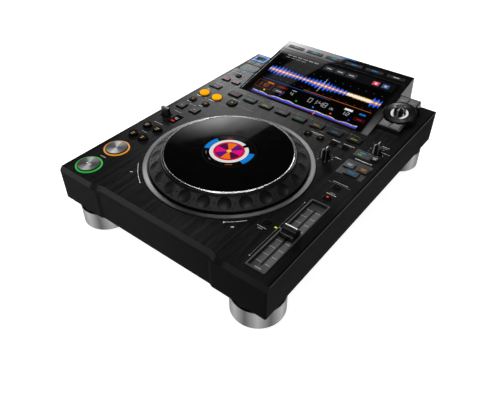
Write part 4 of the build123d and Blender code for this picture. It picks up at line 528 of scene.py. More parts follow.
# painted shadow: a dark print round each square key and the card door, where the gap lies in shade, widest
# at its front
gap_shadows = Print(PANEL_TOP + 0.02)
DOOR = (-142.5, 148.0, 31.0, 21.0)
SQUARE_KEYS = [(-105.0 + 30.0 * k, 60.0, 20.0, 12.5) for k in range(8)] + [
    (-147.6, -15.5, 13.5, 13.5), (-121.3, -15.5, 13.5, 13.5), (-146.5, 62.3, 20.0, 11.0),
    (-148.5, 90.8, 13.5, 8.2), (-128.1, 90.8, 13.5, 8.2), (147.8, 35.2, 10.0, 9.5),
    (128.4, 4.4, 14.0, 12.0), (147.6, 4.4, 14.0, 12.0), (138.3, -9.8, 19.5, 11.0)]
for x, y, wide, deep in SQUARE_KEYS + [DOOR]:
    side = 1.3 if y == DOOR[1] else 0.5
    across, rear, full = wide / 2 + side / 2 + 0.1, deep / 2 + side / 2 + 0.05, wide + 2 * side + 0.2
    gap_shadows.add(bars([(x, y - deep / 2 - 0.65), (x, y + rear), (x - across, y), (x + across, y)],
                  [(full, 1.1), (full, side), (side, deep), (side, deep)]), (2, 2, 2))
# and a painted shadow line round the card door
gap_shadows.add(bars([(-142.5, 135.6), (-142.5, 160.4), (-159.9, 148.0), (-125.1, 148.0)],
              [(35.4, 0.8), (35.4, 0.8), (0.8, 25.6), (0.8, 25.6)]), (6, 6, 7), 1)
gap_shadows.make("key_gap_shadows", inked("gap_shadow", 0.9, 0.0, specular=0.0), "case", "panel_black")

# small lamps set flush in the panel
lamps = Print(PANEL_TOP + 0.04)
lamps.add(rounded((120.0, -147.7), 3.8, 1.6, 0.5), (205, 255, 40))
lamps.make("panel_lamps", lamp, "case", "light_clear")


# Jog bearing, trim ring and wheel
# A satin aluminium ring trims the opening. The wheel is a dark moulding whose sloping skirt has
# 24 finger dimples, with three small pips between each pair to grip by.
moulded("bearing_plastic", linear(30, 30, 30), linear(42, 42, 42), 0.5).on("jog_bearing")


def polar(made, x, y, squeeze=1.0):
    """The angle in turns, -0.5 to 0.5, and the radius of a point about (x, y), in metres.

    squeeze is the cosine of the slope of the plane that the circle lies in.
    """
    across = made.math("SUBTRACT", made.axis("X"), x / 1000)
    up = made.math("DIVIDE", made.math("SUBTRACT", made.axis("Y"), y / 1000), squeeze)
    angle = made.math("DIVIDE", made.math("ARCTAN2", up, across), 2 * np.pi)
    radius = made.math("SQRT", made.math("ADD", made.math("MULTIPLY", across, across),
                                         made.math("MULTIPLY", up, up)))
    return angle, radius, across, up


def spun(name, dark, light, roughness, x, y, aniso=0.7, metallic=1.0, squeeze=1.0, specular=0.5):
    """Metal faced on a lathe about (x, y): fine rings that spread light along the radius."""
    made = Finish(name, roughness, metallic=metallic, specular=specular)
    angle, radius, across, up = polar(made, x, y, squeeze)
    place = made.add("ShaderNodeCombineXYZ")
    made.join(radius, place.inputs["X"])
    rings = made.noise((2600, 1, 1), detail=0.0, vector=place.outputs["Vector"])
    made.tint(rings, dark, light)
    made.rough(rings, roughness - 0.05, roughness + 0.05)
    made.surface.inputs["Anisotropic"].default_value = aniso
    outward = made.add("ShaderNodeCombineXYZ")
    made.join(across, outward.inputs["X"])
    made.join(up, outward.inputs["Y"])
    unit = made.add("ShaderNodeVectorMath", operation="NORMALIZE")
    made.join(outward.outputs["Vector"], unit.inputs[0])
    made.join(unit.outputs["Vector"], made.surface.inputs["Tangent"])
    return made


# painted shade past an edge leaves this share of the base colour
PAINTED_SHADE_LEVEL = 0.03
trim = spun("satin_trim", linear(148, 148, 150), linear(172, 172, 174), 0.34, 0, JOG_Y, aniso=0.35)
angle, radius = polar(trim, 0, JOG_Y)[:2]
# painted shade on the ring's inner chamfer
inner_chamfer_shade = trim.spread(radius, 0.0, 1.0, at=(0.1038, 0.1068))
trim.shade(trim.levels(inner_chamfer_shade, (0.0, PAINTED_SHADE_LEVEL), (0.6, PAINTED_SHADE_LEVEL), (0.8, 1.0)))


def paint_light_round(made, angle, *steps):
    """Paints light and shade into the base colour by (degrees, level) steps round an axis, from 0 to 360."""
    whole = made.math("FRACT", angle)
    return made.shade(made.levels(whole, *[(at / 360, level) for at, level in steps]))


# painted reflections: the trim ring lighter and darker round its turn as the lamps fall on it
paint_light_round(trim, angle, (0, 0.36), (30, 0.7), (60, 0.75), (90, 0.14), (120, 0.1), (150, 0.4),
             (180, 0.25), (215, 0.45), (240, 1.0), (262, 0.3), (285, 0.2), (320, 0.7), (345, 0.5),
             (360, 0.36)).on("jog_trim_ring")

PIP_R, PIP_RISE = 1.3, 0.7
SKIRT_OUT, SKIRT_IN = (103.0, 90.3), (86.4, 101.8)
DIMPLES, DIMPLE_PHASE = 24, 6.0
DIMPLE_R, DIMPLE_SEAT, SLOPE_RATIO = 8.2, 94.7, 1.216

# painted light and shade: the skirt lighter and darker round the wheel as light falls on it,
# painted shade growing outwards in each dimple, and painted shadow at the skirt's two edges
skirt = moulded("wheel_plastic", linear(65, 65, 65), linear(78, 78, 78), 0.4, grain=2400, specular=0.2)
angle, radius = polar(skirt, 0, JOG_Y)[:2]
paint_light_round(skirt, angle, (0, 0.12), (30, 0.4), (60, 0.75), (80, 0.6), (100, 0.33), (180, 0.6),
             (200, 0.85), (215, 1.0), (228, 0.6), (240, 0.33), (270, 0.33), (300, 0.28), (330, 0.18),
             (360, 0.12))
phase = 0.5 - DIMPLE_PHASE * DIMPLES / 360
turn = skirt.math("FRACT", skirt.math("MULTIPLY_ADD", angle, DIMPLES, phase))
pitch = 2 * np.pi * DIMPLE_SEAT / DIMPLES
aside = skirt.math("MULTIPLY_ADD", turn, pitch, -pitch / 2)
uphill = skirt.math("MULTIPLY_ADD", radius, SLOPE_RATIO * 1000, -DIMPLE_SEAT * SLOPE_RATIO)
reach = skirt.math("SQRT", skirt.math("ADD", skirt.math("MULTIPLY", aside, aside),
                                      skirt.math("MULTIPLY", uphill, uphill)))
skirt.shade(skirt.levels(skirt.math("DIVIDE", reach, DIMPLE_R * 1.25),
                         (0.0, 0.5), (0.5, 0.3), (0.78, 0.07), (0.815, 1.0)))
edge_shadow_mask = skirt.spread(radius, 0.0, 1.0, at=(0.086, 0.104))
skirt.shade(skirt.levels(edge_shadow_mask, (0.1, PAINTED_SHADE_LEVEL), (0.2, 1.0), (0.9, 1.0), (0.95, PAINTED_SHADE_LEVEL))).on("jog_wheel")
grip = moulded("pip_plastic", linear(10, 10, 10), linear(16, 16, 16), 0.3, grain=2400, specular=0.3)


def pips():
    """72 low domes on the skirt's cone, three in a slanting row midway between each two dimples.

    A dome's point is seat + r(u) * (side cos v + up sin v) + rise * cos(u) * out, u from 0 to 90
    degrees, with r = PIP_R sin u. The seat lies on the cone at share t of its slope.
    """
    t = np.tile([0.2, 0.5, 0.8], DIMPLES)
    lean = np.tile([-2.0, 0.0, 2.0], DIMPLES)
    a = np.radians(np.repeat(DIMPLE_PHASE + (np.arange(DIMPLES) + 0.5) * 360 / DIMPLES, 3) + lean)
    radius = SKIRT_OUT[0] + t * (SKIRT_IN[0] - SKIRT_OUT[0])
    z = SKIRT_OUT[1] + t * (SKIRT_IN[1] - SKIRT_OUT[1])
    run, rise = SKIRT_OUT[0] - SKIRT_IN[0], SKIRT_IN[1] - SKIRT_OUT[1]
    slope = np.hypot(run, rise)
    seat = np.stack([radius * np.cos(a), JOG_Y + radius * np.sin(a), z], -1)
    side = np.stack([-np.sin(a), np.cos(a), np.zeros_like(a)], -1)
    out = np.stack([rise * np.cos(a), rise * np.sin(a), np.full_like(a, run)], -1) / slope
    up = np.cross(out, side)
    v = np.radians(np.arange(0, 360, 45))
    u = np.radians([90, 50])
    round_it = side[:, None] * np.cos(v)[None, :, None] + up[:, None] * np.sin(v)[None, :, None]
    local = [PIP_R * np.sin(h) * round_it + PIP_RISE * np.cos(h) * out[:, None] for h in u]
    ring = seat[:, None] + np.concatenate(local, 1)
    top = seat + PIP_RISE * out
    points = np.concatenate([ring, top[:, None]], 1).reshape(-1, 3)
    j = np.arange(8)
    k = (j + 1) % 8
    one = [tuple(q) for q in np.stack([j, j + 8, k + 8, k], -1)]
    one += [tuple(q) for q in np.stack([j + 8, np.full(8, 16), k + 8], -1)]
    return points, [tuple(v + 17 * n for v in f) for n in range(len(a)) for f in one]


points, faces = pips()
piece("wheel_pips", points, faces, grip.material, "jog", "wheel_black", smooth=True)


# Jog rim, top plate and centre display
# A polished rim holds a gloss black plate. The display under the middle does not turn: it shows
# a white ring with the playing mark, a red ring, two blue arcs and a plain pinwheel as a cover.
rim = spun("polished_rim", linear(196, 196, 200), linear(206, 206, 210), 0.14, 0, JOG_Y, aniso=0.0)
# painted reflections: the polished rim lighter and darker round its turn
paint_light_round(rim, polar(rim, 0, JOG_Y)[0], (0, 0.25), (30, 1.0), (60, 1.0), (90, 0.1), (120, 0.6),
             (150, 0.85), (180, 0.3), (220, 0.45), (250, 0.35), (275, 0.35), (300, 1.0), (330, 0.55),
             (360, 0.25)).on("jog_rim")
gloss = Finish("gloss_black", 0.04, specular=0.6)
gloss.tint(gloss.noise((25, 25, 25)), linear(1, 1, 1), linear(3, 3, 3))
gloss.rough(gloss.noise((60, 60, 60)), 0.03, 0.06)
gloss.on("jog_top_plate")
moulded("display_body", linear(7, 7, 7), linear(11, 11, 11), 0.3).on("jog_display")

DISPLAY_TOP = 103.0
disp = Print(DISPLAY_TOP + 0.03)
c = (0.0, JOG_Y)


def dash_round(angle, radius, length, width, turned, colour, layer):
    """A dash at this angle and radius from the display's middle, turned by so many degrees."""
    a = np.radians(angle)
    middle = (c[0] + radius * np.cos(a), c[1] + radius * np.sin(a))
    disp.add(bars([middle], [(length, width)], turned), colour, layer)


disp.add(disc(c, 35.6, 96), (3, 3, 3))
disp.add(band(c, 33.6, 35.4, steps=96), (14, 14, 14), 1)
for angle in np.arange(0, 360, 7.5):
    dash_round(angle, 29.6, 1.2, 0.3, angle, (46, 46, 46), 1)
disp.add(band(c, 26.0, 33.2, 158, 204, 40), (14, 128, 214), 2)
disp.add(band(c, 26.0, 33.2, 340, 385, 40), (14, 128, 214), 2)
disp.add(band(c, 20.4, 25.4, 70, 416, 96), (226, 226, 226), 2)
disp.add(band(c, 17.6, 20.2, 0, 360, 96), (214, 20, 44), 2)
# the cover is a plain pinwheel of eight even leaves round a yellow eye
LEAVES = ((232, 14, 126), (92, 24, 120), (244, 112, 22), (78, 14, 66))
for k in range(8):
    disp.add(band(c, 0.0, 17.4, 45 * k, 45 * (k + 1), 12), LEAVES[k % 4], 2)
disp.add(disc(c, 3.2, 24), (250, 196, 60), 3)
disp.add(bars([(c[0] + 28.0, c[1] + 8.6)], [(0.8, 4.0)], -10), (40, 100, 220), 3)
for angle, length, tone in ((127, 7.0, (190, 50, 30)), (308, 9.0, (190, 80, 30)),
                            (222, 6.0, (120, 120, 120)), (252, 5.0, (110, 110, 110))):
    dash_round(angle, 29.4, length, 1.1, angle - 90, tone, 3)
disp.make("jog_display_picture", inked("lit_display", 0.05, 0.92, body=0.04), "case", "light_clear")


# Play and cue buttons with their light rings
# Each cap is faced metal with a fine spun grain, in a clear ring lit from below: green round
# play, amber round cue and white round the selector.
# painted highlights: two bright fans across each spun cap
PAINTED_FANS = ((0, 0.16), (62, 0.08), (98, 0.3), (118, 1.0), (136, 0.85), (158, 0.2), (200, 0.12),
        (235, 0.08), (268, 0.35), (292, 1.0), (316, 0.9), (338, 0.3), (360, 0.16))
PLAY_X = -138.1
for name, y in (("play_button", -199.2), ("cue_button", -152.5)):
    cap = spun(name + "_metal", linear(176, 176, 176), linear(196, 196, 196), 0.36, PLAY_X, y,
               aniso=0.6, metallic=0.6)
    angle, radius = polar(cap, PLAY_X, y)[:2]
    paint_light_round(cap, angle, *PAINTED_FANS)
    # painted shade round each cap's edge
    facing = cap.spread(radius, 0.0, 1.0, at=(0.0, 0.016))
    cap.shade(cap.levels(facing, (0.0, 1.0), (0.88, 1.0), (0.905, PAINTED_SHADE_LEVEL), (1.0, PAINTED_SHADE_LEVEL))).on(name)
ring = Finish("light_ring_clear", 0.3)
ring.tint(ring.noise((600, 600, 600)), linear(20, 20, 20), linear(32, 32, 32))
rows = ring.spread(ring.axis("Y"), 0.0, 1.0, at=(-0.3, 0.3))
ring_colour = ring.ramp(rows, ((0.0, linear(32, 186, 70)), (0.205, linear(232, 152, 36)),
                               (0.5, linear(226, 226, 226))), "CONSTANT")
# painted shade darkens the selector's ring at its front and back, so it shows lit at its two sides only
SELECTOR_X = 130.2
off_middle = ring.math("ABSOLUTE", ring.math("SUBTRACT", ring.axis("X"), SELECTOR_X / 1000))
shade_free_side = ring.math("MAXIMUM", ring.spread(off_middle, 0.0, 1.0, at=(0.0035, 0.0075)),
                     ring.math("LESS_THAN", ring.axis("X"), 0.0))
shown = ring.mix(ring_colour, ring.levels(shade_free_side, (0.0, PAINTED_SHADE_LEVEL), (1.0, 1.0)), blend="MULTIPLY")
ring.glow(shown, 0.9).on("light_rings")
dots = Print(PANEL_TOP + 2.2 + 0.03)
dots.add(shape((-141.6, -201.0), (-138.8, -199.4), (-141.6, -197.8)), (235, 235, 235))
dots.add(bars([(-136.6, -199.4), (-134.6, -199.4)], (0.9, 3.2)), (235, 235, 235))
dots.make("play_mark", paint, "play_button", "spun_metal")


# Round keys
# Small gloss black keys, each in a low dished surround. Loop in and loop out are yellow and lit.
# Their marks are drawn with plain shapes in white and amber.
gloss_key = moulded("key_gloss_black", linear(10, 10, 10), linear(15, 15, 15), 0.16, grain=600,
                    height=0.000004, specular=0.02)
gloss_key.on("search_back", "search_forward", "track_back", "track_forward", "loop_size_keys",
             "loop_exit", "media_stop_button", "memory_keys", "tempo_range_button",
             "master_tempo_button", "tempo_reset_button")
yellow = moulded("key_yellow", linear(190, 122, 6), linear(200, 130, 8), 0.4, grain=600, height=0.000004,
                 specular=0.0)
yellow.glow(linear(255, 168, 4), 0.6).on("loop_in", "loop_out")

surround = Finish("surround_black", 0.3, specular=0.05)
surround.tint(surround.noise((500, 500, 500)), linear(12, 12, 12), linear(20, 20, 20))
SURROUNDS = (
    (-145.7, 34.2, 8.0, 1.5), (-120.6, 34.2, 8.0, 1.5), (-91.2, 35.2, 8.0, 1.5),
    (-147.0, 8.5, 5.6, 1.3), (-121.5, 8.5, 5.6, 1.3), (-145.8, -114.7, 7.4, 1.4),
    (-127.2, -114.7, 7.4, 1.4), (-146.2, -87.6, 6.9, 1.4), (-126.6, -87.6, 6.9, 1.4),
    (-139.2, 112.1, 4.6, 1.2), (44.9, 35.2, 5.2, 1.2), (65.2, 35.2, 5.2, 1.2),
    (86.0, 35.2, 5.2, 1.2), (103.9, 35.2, 5.2, 1.2), (137.8, -45.3, 4.9, 1.2),
    (138.9, -69.5, 5.2, 1.3), (108.1, -147.6, 4.9, 1.6))
all_points, all_faces, count = [], [], 0
for x, y, radius, width in SURROUNDS:
    lip = [(radius, PANEL_TOP + 0.02), (radius, PANEL_TOP + 0.5), (radius + 0.35, PANEL_TOP + 0.7),
           (radius + width * 0.7, PANEL_TOP + 0.5), (radius + width, PANEL_TOP + 0.02)]
    points, faces = turned_ring((x, y, 0.0), lip, 40)
    all_points.append(points)
    all_faces.append(faces[:, ::-1] + count)
    count += len(points)
piece("key_surrounds", np.vstack(all_points), np.vstack(all_faces), surround.material, "case",
      "key_black")


def arrow(x, y, size, way):
    """A triangle that points along X: way is 1 to the right and -1 to the left."""
    tip, back, half = x + way * size * 0.5, x - way * size * 0.5, size * 0.55
    return shape(*[(tip, y), (back, y + half), (back, y - half)][::way])


def lit(name, rise, drawn, body, slot=None):
    """Lit marks that lie `rise` above the panel: drawn holds ((points, faces), colour) rows."""
    glyph = Print(PANEL_TOP + rise)
    for mark, colour in drawn:
        glyph.add(mark, colour)
    glyph.make(name, lamp, body, slot)


AMBER, PALE = (236, 160, 30), (205, 205, 205)
for name, x, y, way in (("search_back", -145.8, -114.7, -1), ("search_forward", -127.2, -114.7, 1),
                        ("track_back", -146.2, -87.6, -1), ("track_forward", -126.6, -87.6, 1)):
    drawn = [(arrow(x - 1.1, y + 0.3, 2.1, way), AMBER), (arrow(x + 1.1, y + 0.3, 2.1, way), AMBER)]
    if name.startswith("track"):
        drawn.append((bars([(x + way * 2.6, y + 0.3)], [(0.5, 2.3)]), PALE))
    drawn.append((bars([(x, y - 2.9)], [(3.4, 0.8)], 20), PALE))
    lit(name + "_mark", 3.63, drawn, name, "key_black")
for name, spots, rise, tone in (
        ("loop_size_keys", ((-147.0, 8.5), (-121.5, 8.5)), 2.23, (200, 134, 26)),
        ("loop_exit", ((-91.2, 35.2),), 2.43, AMBER),
        ("memory_keys", ((44.9, 35.2), (65.2, 35.2)), 1.83, (134, 92, 30))):
    lit(name + "_marks", rise, [(bars([(x + aside, y)], [size], 15), tone) for x, y in spots
                                for aside, size in ((0.0, (3.2, 1.1)), (0.6, (1.1, 2.8)))],
        name, "key_black")
lit("master_tempo_lamp", 1.83, [(disc((138.9, -68.6), 1.4, 20), (236, 60, 50))],
    "master_tempo_button", "key_black")


# Square keys
# Low satin keys. The eight hot cue keys, the sync keys and the time keys glow in their own
# colours through a mark on a dark cap; the beat jump and slip keys are plain black.
satin_key = moulded("key_satin_black", linear(26, 26, 26), linear(34, 34, 34), 0.34, grain=1500,
                    height=0.000008, specular=0.04)
satin_key.on("beat_jump_back", "beat_jump_forward", "slip_button", "jog_mode_button", "hot_cue_keys")
moulded("key_red", linear(38, 15, 17), linear(48, 18, 20), 0.4, grain=1500, specular=0.25).on(
    "time_keys")
for name, dark, light, roughness, node in (
        ("key_grey", (48, 48, 50), (58, 58, 60), 0.35, "master_button"),
        ("key_dark_amber", (34, 30, 24), (44, 38, 28), 0.32, "key_sync_button"),
        ("key_dark_blue", (24, 32, 38), (30, 40, 48), 0.32, "beat_sync_button")):
    moulded(name, linear(*dark), linear(*light), roughness, grain=1500).on(node)

CUE_LIGHTS = ((205, 70, 84), (60, 170, 160), (200, 190, 40), (150, 120, 160), (50, 180, 60),
              (210, 150, 50), (50, 140, 190), (190, 190, 40))
tiles = []
for i, colour in enumerate(CUE_LIGHTS):
    x = -105.0 + 30.0 * i
    tiles.append((bars([(x - 0.6, 58.6)], [(9.6, 1.1)]), [c * 0.9 for c in colour]))
    tiles.append((bars([(x - 3.6, 62.2)], [(1.8, 0.8)]), [c * 0.55 for c in colour]))
lit("hot_cue_marks", 2.03, tiles, "hot_cue_keys", "key_cue")
lit("beat_jump_back_mark", 2.03, [(arrow(-147.6, -15.5, 3.2, -1), (140, 140, 140))],
    "beat_jump_back", "key_black")
lit("beat_jump_forward_mark", 2.03, [(arrow(-121.3, -15.5, 3.2, 1), (140, 140, 140))],
    "beat_jump_forward", "key_black")
lit("slip_mark", 1.63, [(bars([(-148.0, 62.0), (-144.0, 62.6)], (0.9, 5.0), 25), (170, 170, 170))],
    "slip_button", "key_black")
lit("time_marks", 1.83, [(bars([(x, 91.0)], [(7.0, 1.4)]), (190, 80, 84)) for x in (-148.5, -128.1)],
    "time_keys", "key_red")
for name, x, y, width, colour in (("master_button", 128.4, 4.4, 7.0, (170, 170, 186)),
                                  ("key_sync_button", 147.6, 4.4, 7.5, (190, 116, 20)),
                                  ("beat_sync_button", 138.3, -9.8, 10.0, (26, 112, 160))):
    lines = bars([(x, y + 1.2), (x, y - 1.2)], [(width, 1.3), (width * 0.7, 1.2)])
    lit(name + "_mark", 1.83, [(lines, colour)], name)
lit("jog_mode_mark", 1.83,
    [(bars([(147.8, 36.8), (147.8, 33.8)], [(6.4, 1.2), (4.6, 1.2)]), (190, 190, 190))],
    "jog_mode_button")
lit("jog_mode_lamps", 0.05, [(bars([(129.0, 39.4)], [(8.5, 1.7)]), (60, 140, 190)),
                             (bars([(127.0, 34.4)], [(6.0, 1.8)]), (110, 190, 40))], "case")


# Direction lever
# A moulded lever on a pin, in a slot with a printed field beside it. A red lamp shows reverse.
moulded("lever_black", linear(22, 22, 22), linear(32, 32, 32), 0.3, grain=1400).on("direction_lever")
field = Print(PANEL_TOP + 0.02)
field.add(rounded((-127.5, -50.5), 12.6, 23.0, 1.0), (9, 9, 9))
# painted shade: a dark frame round the lever's slot
field.add(bars([(-147.3, -55.35), (-147.3, -43.45), (-155.2, -49.4), (-139.4, -49.4)],
               [(16.6, 1.0), (16.6, 1.0), (0.8, 10.9), (0.8, 10.9)]), (3, 3, 3))
field.make("lever_field", inked("field_print_and_slot_shade", 0.6, 0.0, specular=0.0), "case", "panel_black")
lever_bars = bars([(-128.4, -46.4), (-127.6, -49.4)], [(6.0, 1.3), (4.4, 1.2)])
lit("lever_lamps", 0.05, [(rounded((-128.6, -55.4), 6.4, 3.0, 0.6), (205, 44, 44)),
                          (lever_bars, (190, 190, 190))], "case")


# Speed and jog weight knobs
# Turned and knurled black knobs with a chromed cap and a white line.
KNOB_TOP = PANEL_TOP + 13.2
for name, x, y, radius in (("speed_knob", 93.0, 2.0, 5.3), ("jog_adjust_knob", 142.0, 53.0, 5.7)):
    side = moulded(name + "_black", linear(150, 150, 150), linear(175, 175, 175), 0.2, grain=1400,
                   height=0.000006)
    # painted highlights: bright streaks on the knurled side, which is otherwise left nearly black
    paint_light_round(side, polar(side, x, y)[0], (0, 0.012), (232, 0.012), (241, 0.6), (248, 1.0),
                 (255, 0.3), (262, 0.012), (296, 0.012), (305, 0.3), (312, 0.012),
                 (360, 0.012)).on(name)
    cap = spun(name + "_cap", linear(90, 90, 92), linear(120, 120, 122), 0.3, x, y, aniso=0.5,
               metallic=0.5)
    lip = [(0.3, KNOB_TOP + 0.03), (radius - 0.6, KNOB_TOP + 0.03), (radius - 0.3, KNOB_TOP + 0.01),
           (0.3, KNOB_TOP + 0.01)]
    points, faces = turned_ring((x, y, 0.0), lip, 48)
    piece(name + "_face", points, faces[:, ::-1], cap.material, name, "knob_black")
    pointer = Print(KNOB_TOP + 0.06)
    pointer.add(bars([(x, y + radius * 0.5)], [(0.9, radius)]), (225, 225, 225))
    pointer.make(name + "_line", paint, name, "knob_black")


# Tempo fader
# A tray in the panel with a printed ladder scale on both sides of a dark slot, and a black cap
# with a bright end at its rear ridge.
tray = moulded("tray_grey", linear(34, 34, 35), linear(44, 44, 45), 0.42, grain=1800, specular=0.3)
tray.on("fader_tray")
moulded("cap_black", linear(10, 10, 10), linear(16, 16, 16), 0.24, grain=1500).on("fader_cap")
FADER_X, FADER_Y, TRAY_FLOOR = 138.1, -146.25, 82.8
scale = Print(TRAY_FLOOR + 0.03)
rungs = FADER_Y + np.linspace(-50, 50, 9)
for side in (-1, 1):
    for k in range(5):
        line = bars([(FADER_X + side * (2.6 + 1.4 * k), FADER_Y)], [(0.45, 100)])
        scale.add(line, (104, 104, 106))
    for off, size, tone in ((5.4, (6.4, 0.5), (168, 168, 170)), (9.0, (1.2, 0.6), (200, 200, 200))):
        scale.add(bars(np.stack([np.full(9, FADER_X + side * off), rungs], -1), size), tone, 1)
# painted shade: a near-black bar over the slot, where it lies in shade
scale.add(bars([(FADER_X, FADER_Y)], [(2.4, 108)]), (3, 3, 3), 1)
scale.add(bars([(FADER_X - 0.6, FADER_Y - 58.5)], [(8.0, 1.1)]), (150, 150, 150), 1)
scale.make("fader_scale", paint, "case", "tray_grey")
ridge = Print(97.05)
ridge.add(bars([(FADER_X, -144.9)], [(15.6, 1.4)]), (225, 225, 225))
ridge.make("cap_line", paint, "fader_cap", "cap_black")


# SD card bay and USB bay
# A hinged black door covers the card slot. The USB socket sits in a clear blue frame that is lit.
moulded("bay_black", linear(5, 5, 5), linear(9, 9, 9), 0.4, grain=1400, specular=0.2).on("sd_reader")
moulded("door_black", linear(26, 26, 27), linear(34, 34, 35), 0.3, grain=1500, specular=0.2).on("sd_door")
usb = Finish("usb_blue_clear", 0.35, specular=0.03)
sides = [usb.math("ABSOLUTE", usb.math("MULTIPLY_ADD", usb.axis(way), 1000.0 / half, -middle / half))
         for way, half, middle in (("X", 11.4, -147.2), ("Y", 10.5, 185.5))]
rise = usb.spread(usb.axis("Z"), 0.0, 1.0, at=(0.0868, 0.0872))
border = usb.math("MULTIPLY", usb.math("MAXIMUM", *sides), rise)
BORDER_AT = (0.0, 0.86, 0.89)
colours = [linear(*tone) for tone in ((118, 120, 124), (70, 74, 80), (30, 150, 220))]
lights = [linear(*tone) for tone in ((22, 22, 24), (0, 10, 20), (20, 140, 230))]
usb.join(usb.ramp(border, list(zip(BORDER_AT, colours))), usb.surface.inputs["Base Color"])
usb.glow(usb.ramp(border, list(zip(BORDER_AT, lights))), 0.9)
usb.on("usb_port")
lit("sd_lamp", 0.05, [(bars([(-142.5, 136.9)], [(27.0, 0.9)]), (40, 190, 225))], "case")
plug = Print(PANEL_TOP - 4.0 - 0.75)
plug.add(bars([(-147.2, 185.5)], [(13.2, 1.6)]), (20, 20, 24))
plug.make("usb_tongue", paint, "case")


# Screen housing
# A gloss black moulding carries the screen at a slant, with keys above it and the selector's
# island at its right.
housing = moulded("housing_black", linear(10, 10, 11), linear(14, 14, 15), 0.09, grain=2600,
                  height=0.000002, specular=0.8)
housing.on("screen_housing")
TILT = np.radians(12.37)
SLOPE_Y, SLOPE_Z = 80.6, 87.0


def on_slope(x, s, h):
    """A point s up the slope from its front edge and h off it, tilted by t.

    y = SLOPE_Y + s cos t - h sin t and z = SLOPE_Z + s sin t + h cos t.
    """
    y = SLOPE_Y + s * np.cos(TILT) - h * np.sin(TILT)
    return np.stack([x, y, SLOPE_Z + s * np.sin(TILT) + h * np.cos(TILT)], -1)


# Touch screen
# Black glass over a colour display. The picture is a made-up player view: a head strip, a wave
# band, boxes and seven-stroke figures, and a small wave along the bottom, all in flat colours.
glass = Finish("touch_glass", 0.04, specular=0.6)
glass.tint(glass.noise((20, 20, 20)), linear(3, 3, 3), linear(5, 5, 6))
glass.rough(glass.noise((50, 50, 50)), 0.03, 0.05).on("screen_glass")
picture_glass = inked("lit_picture", 0.045, 0.95, body=0.03)

view = Print(-0.17, on_slope)


def box_on(sheet, x0, s0, x1, s1, colour, layer=1):
    """A rectangle between two opposite corners."""
    sheet.add(bars([((x0 + x1) / 2, (s0 + s1) / 2)], [(x1 - x0, s1 - s0)]), colour, layer)


DIGITS = {"0": "abcdef", "1": "bc", "2": "abged", "3": "abgcd", "4": "fgbc", "5": "afgcd", "6": "afgedc",
          "7": "abc", "8": "abcdefg", "9": "abcdfg"}


def figures(sheet, text, x, s, height, colour):
    """Figures of thin straight strokes, in the seven places that a clock's figures have."""
    w, t, half = height * 0.6, height * 0.075, height / 2
    low, high = height * 0.25, height * 0.75
    stroke = {"a": (w / 2, height, w, t), "b": (w, high, t, half), "c": (w, low, t, half),
              "d": (w / 2, 0, w, t), "e": (0, low, t, half), "f": (0, high, t, half),
              "g": (w / 2, half, w, t)}
    for sign in text:
        if sign in DIGITS:
            spots = np.array([stroke[k] for k in DIGITS[sign]])
            sheet.add(bars(spots[:, :2] + (x, s), spots[:, 2:]), colour, 2)
            x += height * 0.84
        else:
            rows = (0.28, 0.68) if sign == ":" else (0.02,)
            sheet.add(bars([(x, s + height * r) for r in rows], (1.3 * t, 1.3 * t)), colour, 2)
            x += height * 0.26


def columns(sheet, x, middle, heights, colour, layer):
    """Slim bars side by side about the line `middle`, one value or one for each bar."""
    wide = (x[1] - x[0]) * 1.02
    centres, sizes = np.stack([x, middle + 0 * x], -1), np.stack([0 * x + wide, heights], -1)
    sheet.add(bars(centres, sizes), colour, layer)


view.add(rounded((0, 60.0), 199.0, 114.0, 0.6), (2, 2, 3), 0)

# a head strip: two rows of strokes, three key boxes and two picture squares
box_on(view, -99.5, 98.0, 99.5, 117.0, (15, 16, 18))
rng = np.random.default_rng(11)
letters = np.cumsum(rng.uniform(1.1, 1.9, 60) + 0.55)
for row, end, high, tone in ((109.6, -34.0, 3.0, 205), (104.0, -52.0, 2.4, 172)):
    spots = -94.0 + letters[letters < end + 94.0]
    spots = spots[np.arange(len(spots)) % 5 != 4]
    sizes = np.stack([np.full(len(spots), 0.9), rng.uniform(0.6, 1.0, len(spots)) * high], -1)
    view.add(bars(np.stack([spots, np.full(len(spots), row)], -1), sizes), (tone,) * 3, 2)
for x in (-12.0, 8.0, 28.0):
    box_on(view, x - 8.8, 101.6, x + 8.8, 112.4, (54, 55, 57), 2)
    view.add(bars([(x, 107.0)], [(9.0, 2.0)]), (180, 180, 182), 3)
for x, ground, spot in ((70.0, (206, 70, 96), (244, 214, 220)), (86.0, (66, 92, 140), (170, 184, 206))):
    view.add(bars([(x, 107.0)], [(11.0, 9.0)]), ground, 2)
    view.add(disc((x, 107.0), 2.4, 16), spot, 3)

# main wave: beats with a blue body and an amber and white core, and a pale passage near the end
MID, PALE_FROM, PALE_TO, BEAT = 66.0, 44.0, 84.0, 6.6
x = np.linspace(-98.5, 98.5, 360)
pale = (x > PALE_FROM) & (x < PALE_TO)
beat = np.abs((x / BEAT) % 1.0 - 0.5) * 2
swell = 0.6 + 0.4 * np.cos(x * 0.04) ** 2
body = np.where(pale, 4.4, swell * (3.8 + 7.6 * beat ** 0.7)) * rng.uniform(0.72, 1.15, x.size)
core = body * np.where(pale, 0.74, 0.34 + 0.3 * rng.random(x.size))
bright = core * np.where(pale, 0.82, np.where(beat > 0.66, 0.4, 0.12))
columns(view, x, MID, 2 * body, np.where(pale[:, None], (196, 146, 60), (28, 104, 240)), 2)
columns(view, x, MID, 2 * core, np.where(pale[:, None], (244, 214, 150), (206, 116, 30)), 3)
columns(view, x, MID, 2 * bright, (252, 244, 230), 4)
box_on(view, -0.3, 50.0, 0.3, 82.0, (214, 214, 214), 5)
beats = BEAT * 2 * np.arange(-7, 8)
